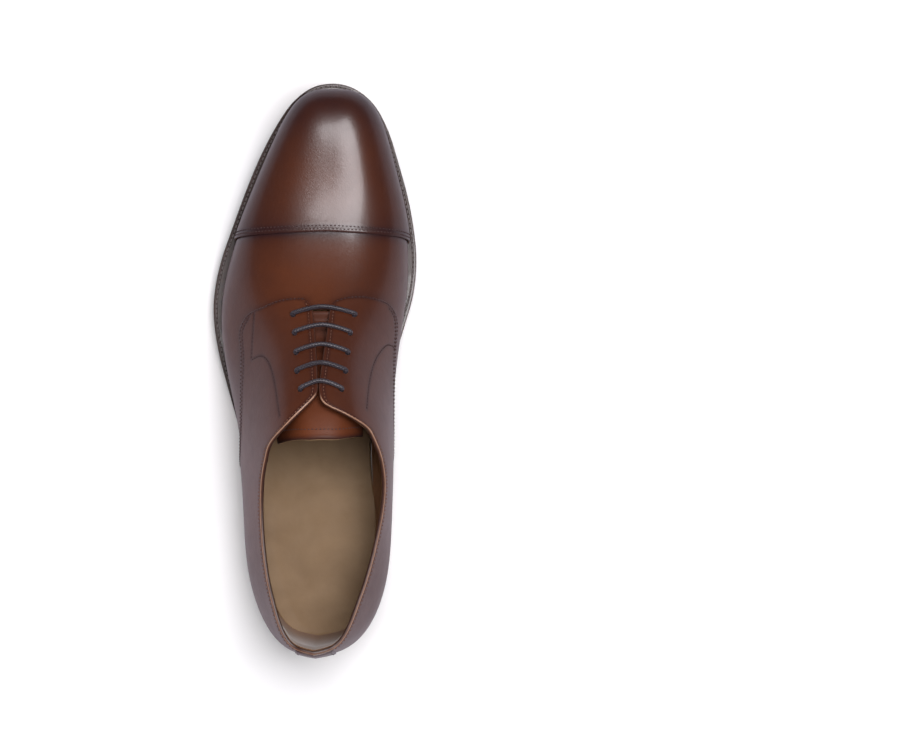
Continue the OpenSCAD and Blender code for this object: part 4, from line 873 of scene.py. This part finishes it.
# ------------------------------------------------------------------ lace
RT = [[-24, -1, -6, 0], [-25, 12, -6, 0], [-24, 23, -6, 0], [-21.5, 25.5, -6, 0], [-19, 23, -6, 0], [-19, 10, -6, 0], [-19, -3, -6, 0],
      [-16, -6, -6, 0], [-13, -3, -6, 0], [-13.5, 9, -6, 0], [-12.5, 20, -6, 0], [-10, 22, -6, 0], [-8, 18, -6, 0], [-9, 8, -6, 0], [-7.5, 1, -6, 0],
      [-5.1, -2, -4.9, 0], [-5.1, -2, -.8, 1], [-4.2, -1.6, 1.8, 1], [7, 1, 3, 1], [18.2, -1.6, 1.8, 1], [19.1, -2, -.8, 0], [19.1, -2, -4.9, 0],
      [20.2, 3, -6, 0], [21.6, 12, -6, 0], [20.8, 17.5, -4.9, 0], [20.8, 17.5, -.8, 1],
      [19.9, 17.9, 1.8, 1], [7, 20.5, 2.8, 1], [-6.2, 17.9, 1.8, 1], [-7.1, 17.5, -.8, 0], [-7.1, 17.5, -4.9, 0], [-7.4, 22, -5.1, 0], [-8.3, 27, -4.9, 0], [-8.3, 27, -.8, 1],
      [-7.4, 27.4, 1.8, 1], [7, 30, 2.8, 1], [21.9, 27.4, 1.8, 1], [22.8, 27, -.8, 0], [22.8, 27, -4.9, 0], [25.4, 20, -6, 0], [24.6, 12, -6, 0], [19.9, 7.5, -4.9, 0], [19.9, 7.5, -.8, 1],
      [19, 7.9, 1.8, 1], [7, 10.5, 2.8, 1], [-5, 7.9, 1.8, 1], [-5.9, 7.5, -.8, 0], [-5.9, 7.5, -4.9, 0], [-9.5, -2, -6, 0], [-8.2, -9, -6, 0], [-3, -11, -4.9, 0], [-3, -11, -.8, 1],
      [-2.1, -10.6, 1.8, 1], [7, -8, 3, 1], [16.6, -10.6, 1.8, 1], [17.5, -11, -.8, 0], [17.5, -11, -4.9, 0], [20, -15, -6, 0], [24, -15, -6, 0], [26.5, -8, -6, 0],
      [28, 6, -6, 0], [29, 20, -6, 0], [31, 22.5, -6, 0], [33, 20, -6, 0], [33, 8, -6, 0]]
RP = []
for x, y, d, _ in RT:
    u, v = pxy(x, y); RP.append(at(u, v, np.array(float(d))))
RP = np.array(RP)
Cc = cr(RP, np.linspace(0, len(RP)-1, 1300)); s = arc(Cc); n_ = int(s[-1]/.45); t = np.linspace(0, s[-1], n_)
Cc = np.stack([np.interp(t, s, Cc[:, k]) for k in range(3)], -1)
for _ in range(3): Cc[1:-1] = .5*Cc[1:-1] + .25*(Cc[2:] + Cc[:-2])
tt = unit(np.gradient(Cc, axis=0)); a = unit(np.cross(tt[0], [0, 0, 1.])); fr = [a]
for k in range(1, n_):
    a = fr[-1] - tt[k]*np.dot(fr[-1], tt[k]); fr.append(a/np.linalg.norm(a))
fr = np.array(fr); bi = np.cross(tt, fr); m_ = 16; k = np.arange(m_)/m_*2*np.pi; rl = 1.13
ring = Cc[:, None] + rl*(np.cos(k)[None, :, None]*fr[:, None] + np.sin(k)[None, :, None]*bi[:, None])
F = grid_faces(n_, m_, 0, False, wrap=True).tolist() + [list(range(m_)), list(range(n_*m_-1, (n_-1)*m_-1, -1))]
luv = np.zeros((n_, m_, 3)); luv[..., 0] = (t/1000)[:, None]; luv[..., 1] = (np.arange(m_)/m_)[None]
obj("lace_round_waxed", ring.reshape(-1, 3), F, [M_LACE], rep=["lace"], attrs={"lace_uv": luv.reshape(-1, 3)})

# ------------------------------------------------------------------ CAD nodes that keep their shape
for nm, m in (("stay_lateral", M_FIB), ("stay_medial", M_FIB), ("toe_puff", M_FIB), ("heel_counter", M_FIB), ("cork_filler", M_CORK),
              ("shank", M_STEEL), ("heel_nails", M_BRASS), ("eyelets", M_BRASS), ("aglets", M_RUB)):
    o = frame["nodes"][nm]; o.data.materials.clear(); o.data.materials.append(m)
    for p in o.data.polygons: p.material_index = 0

# ------------------------------------------------------------------ floor, light
def stage_plane():
    me = bpy.data.meshes.new("floor"); s = 3.0
    me.from_pydata([(-s, -s, -.0004), (s, -s, -.0004), (s, s, -.0004), (-s, s, -.0004)], [], [(0, 1, 2, 3)])
    o = bpy.data.objects.new("floor", me); scene.collection.objects.link(o)
    m, nt, b = new_mat("floor_white"); lp = node(nt, "ShaderNodeLightPath"); nt.links.new(mixc(nt, lp.outputs["Is Glossy Ray"], (.90, .90, .90), (.44, .41, .45)), b.inputs["Base Color"]); b.inputs["Roughness"].default_value = .9
    b.inputs["Specular IOR Level"].default_value = .1
    # far from the shoe, where the studio lights fall off, the paper stays pale to the camera
    rr = node(nt, "ShaderNodeVectorMath", operation="LENGTH"); nt.links.new(coords(nt), rr.inputs[0])
    far = node(nt, "ShaderNodeMapRange", interpolation_type="SMOOTHSTEP"); nt.links.new(rr.outputs["Value"], far.inputs["Value"])
    far.inputs["From Min"].default_value = .45; far.inputs["From Max"].default_value = 1.6
    b.inputs["Emission Color"].default_value = (.95, .96, 1, 1)
    nt.links.new(math_(nt, "MULTIPLY", math_(nt, "MULTIPLY", far.outputs["Result"], lp.outputs["Is Camera Ray"]), .86), b.inputs["Emission Strength"])
    me.materials.append(m)
stage_plane()


def area(name, loc, target, size, power, color=(1, 1, 1), sy=None, glossy=True):
    l = bpy.data.lights.new(name, "AREA"); l.energy = power; l.size = size; l.color = color
    if sy: l.shape = "RECTANGLE"; l.size_y = sy
    o = bpy.data.objects.new(name, l); scene.collection.objects.link(o); o.location = loc
    o.visible_glossy = glossy
    d = Vector(target) - Vector(loc); o.rotation_euler = d.to_track_quat("-Z", "Y").to_euler()
    return o
area("key_top", (.27, .20, 1.44), (0, .03, .04), .86, 25, (1, .975, 1), .66)
area("fill_left", (-1.5, -.1, 1.0), (0, 0, .03), 1.3, 9, (.97, .97, 1.0), 1.0, False)
area("fill_heel", (.3, -1.5, 1.0), (0, -.05, .03), 1.3, 9, (.98, .98, 1.0), .9, False)
w = bpy.data.worlds.new("World"); scene.world = w; w.use_nodes = True
w.node_tree.nodes["Background"].inputs[0].default_value = (.95, .96, 1, 1)
wlp = w.node_tree.nodes.new("ShaderNodeLightPath")
w.node_tree.links.new(math_(w.node_tree, "MULTIPLY_ADD", wlp.outputs["Is Camera Ray"], .86, .09), w.node_tree.nodes["Background"].inputs[1])
scene.view_settings.view_transform = "Standard"
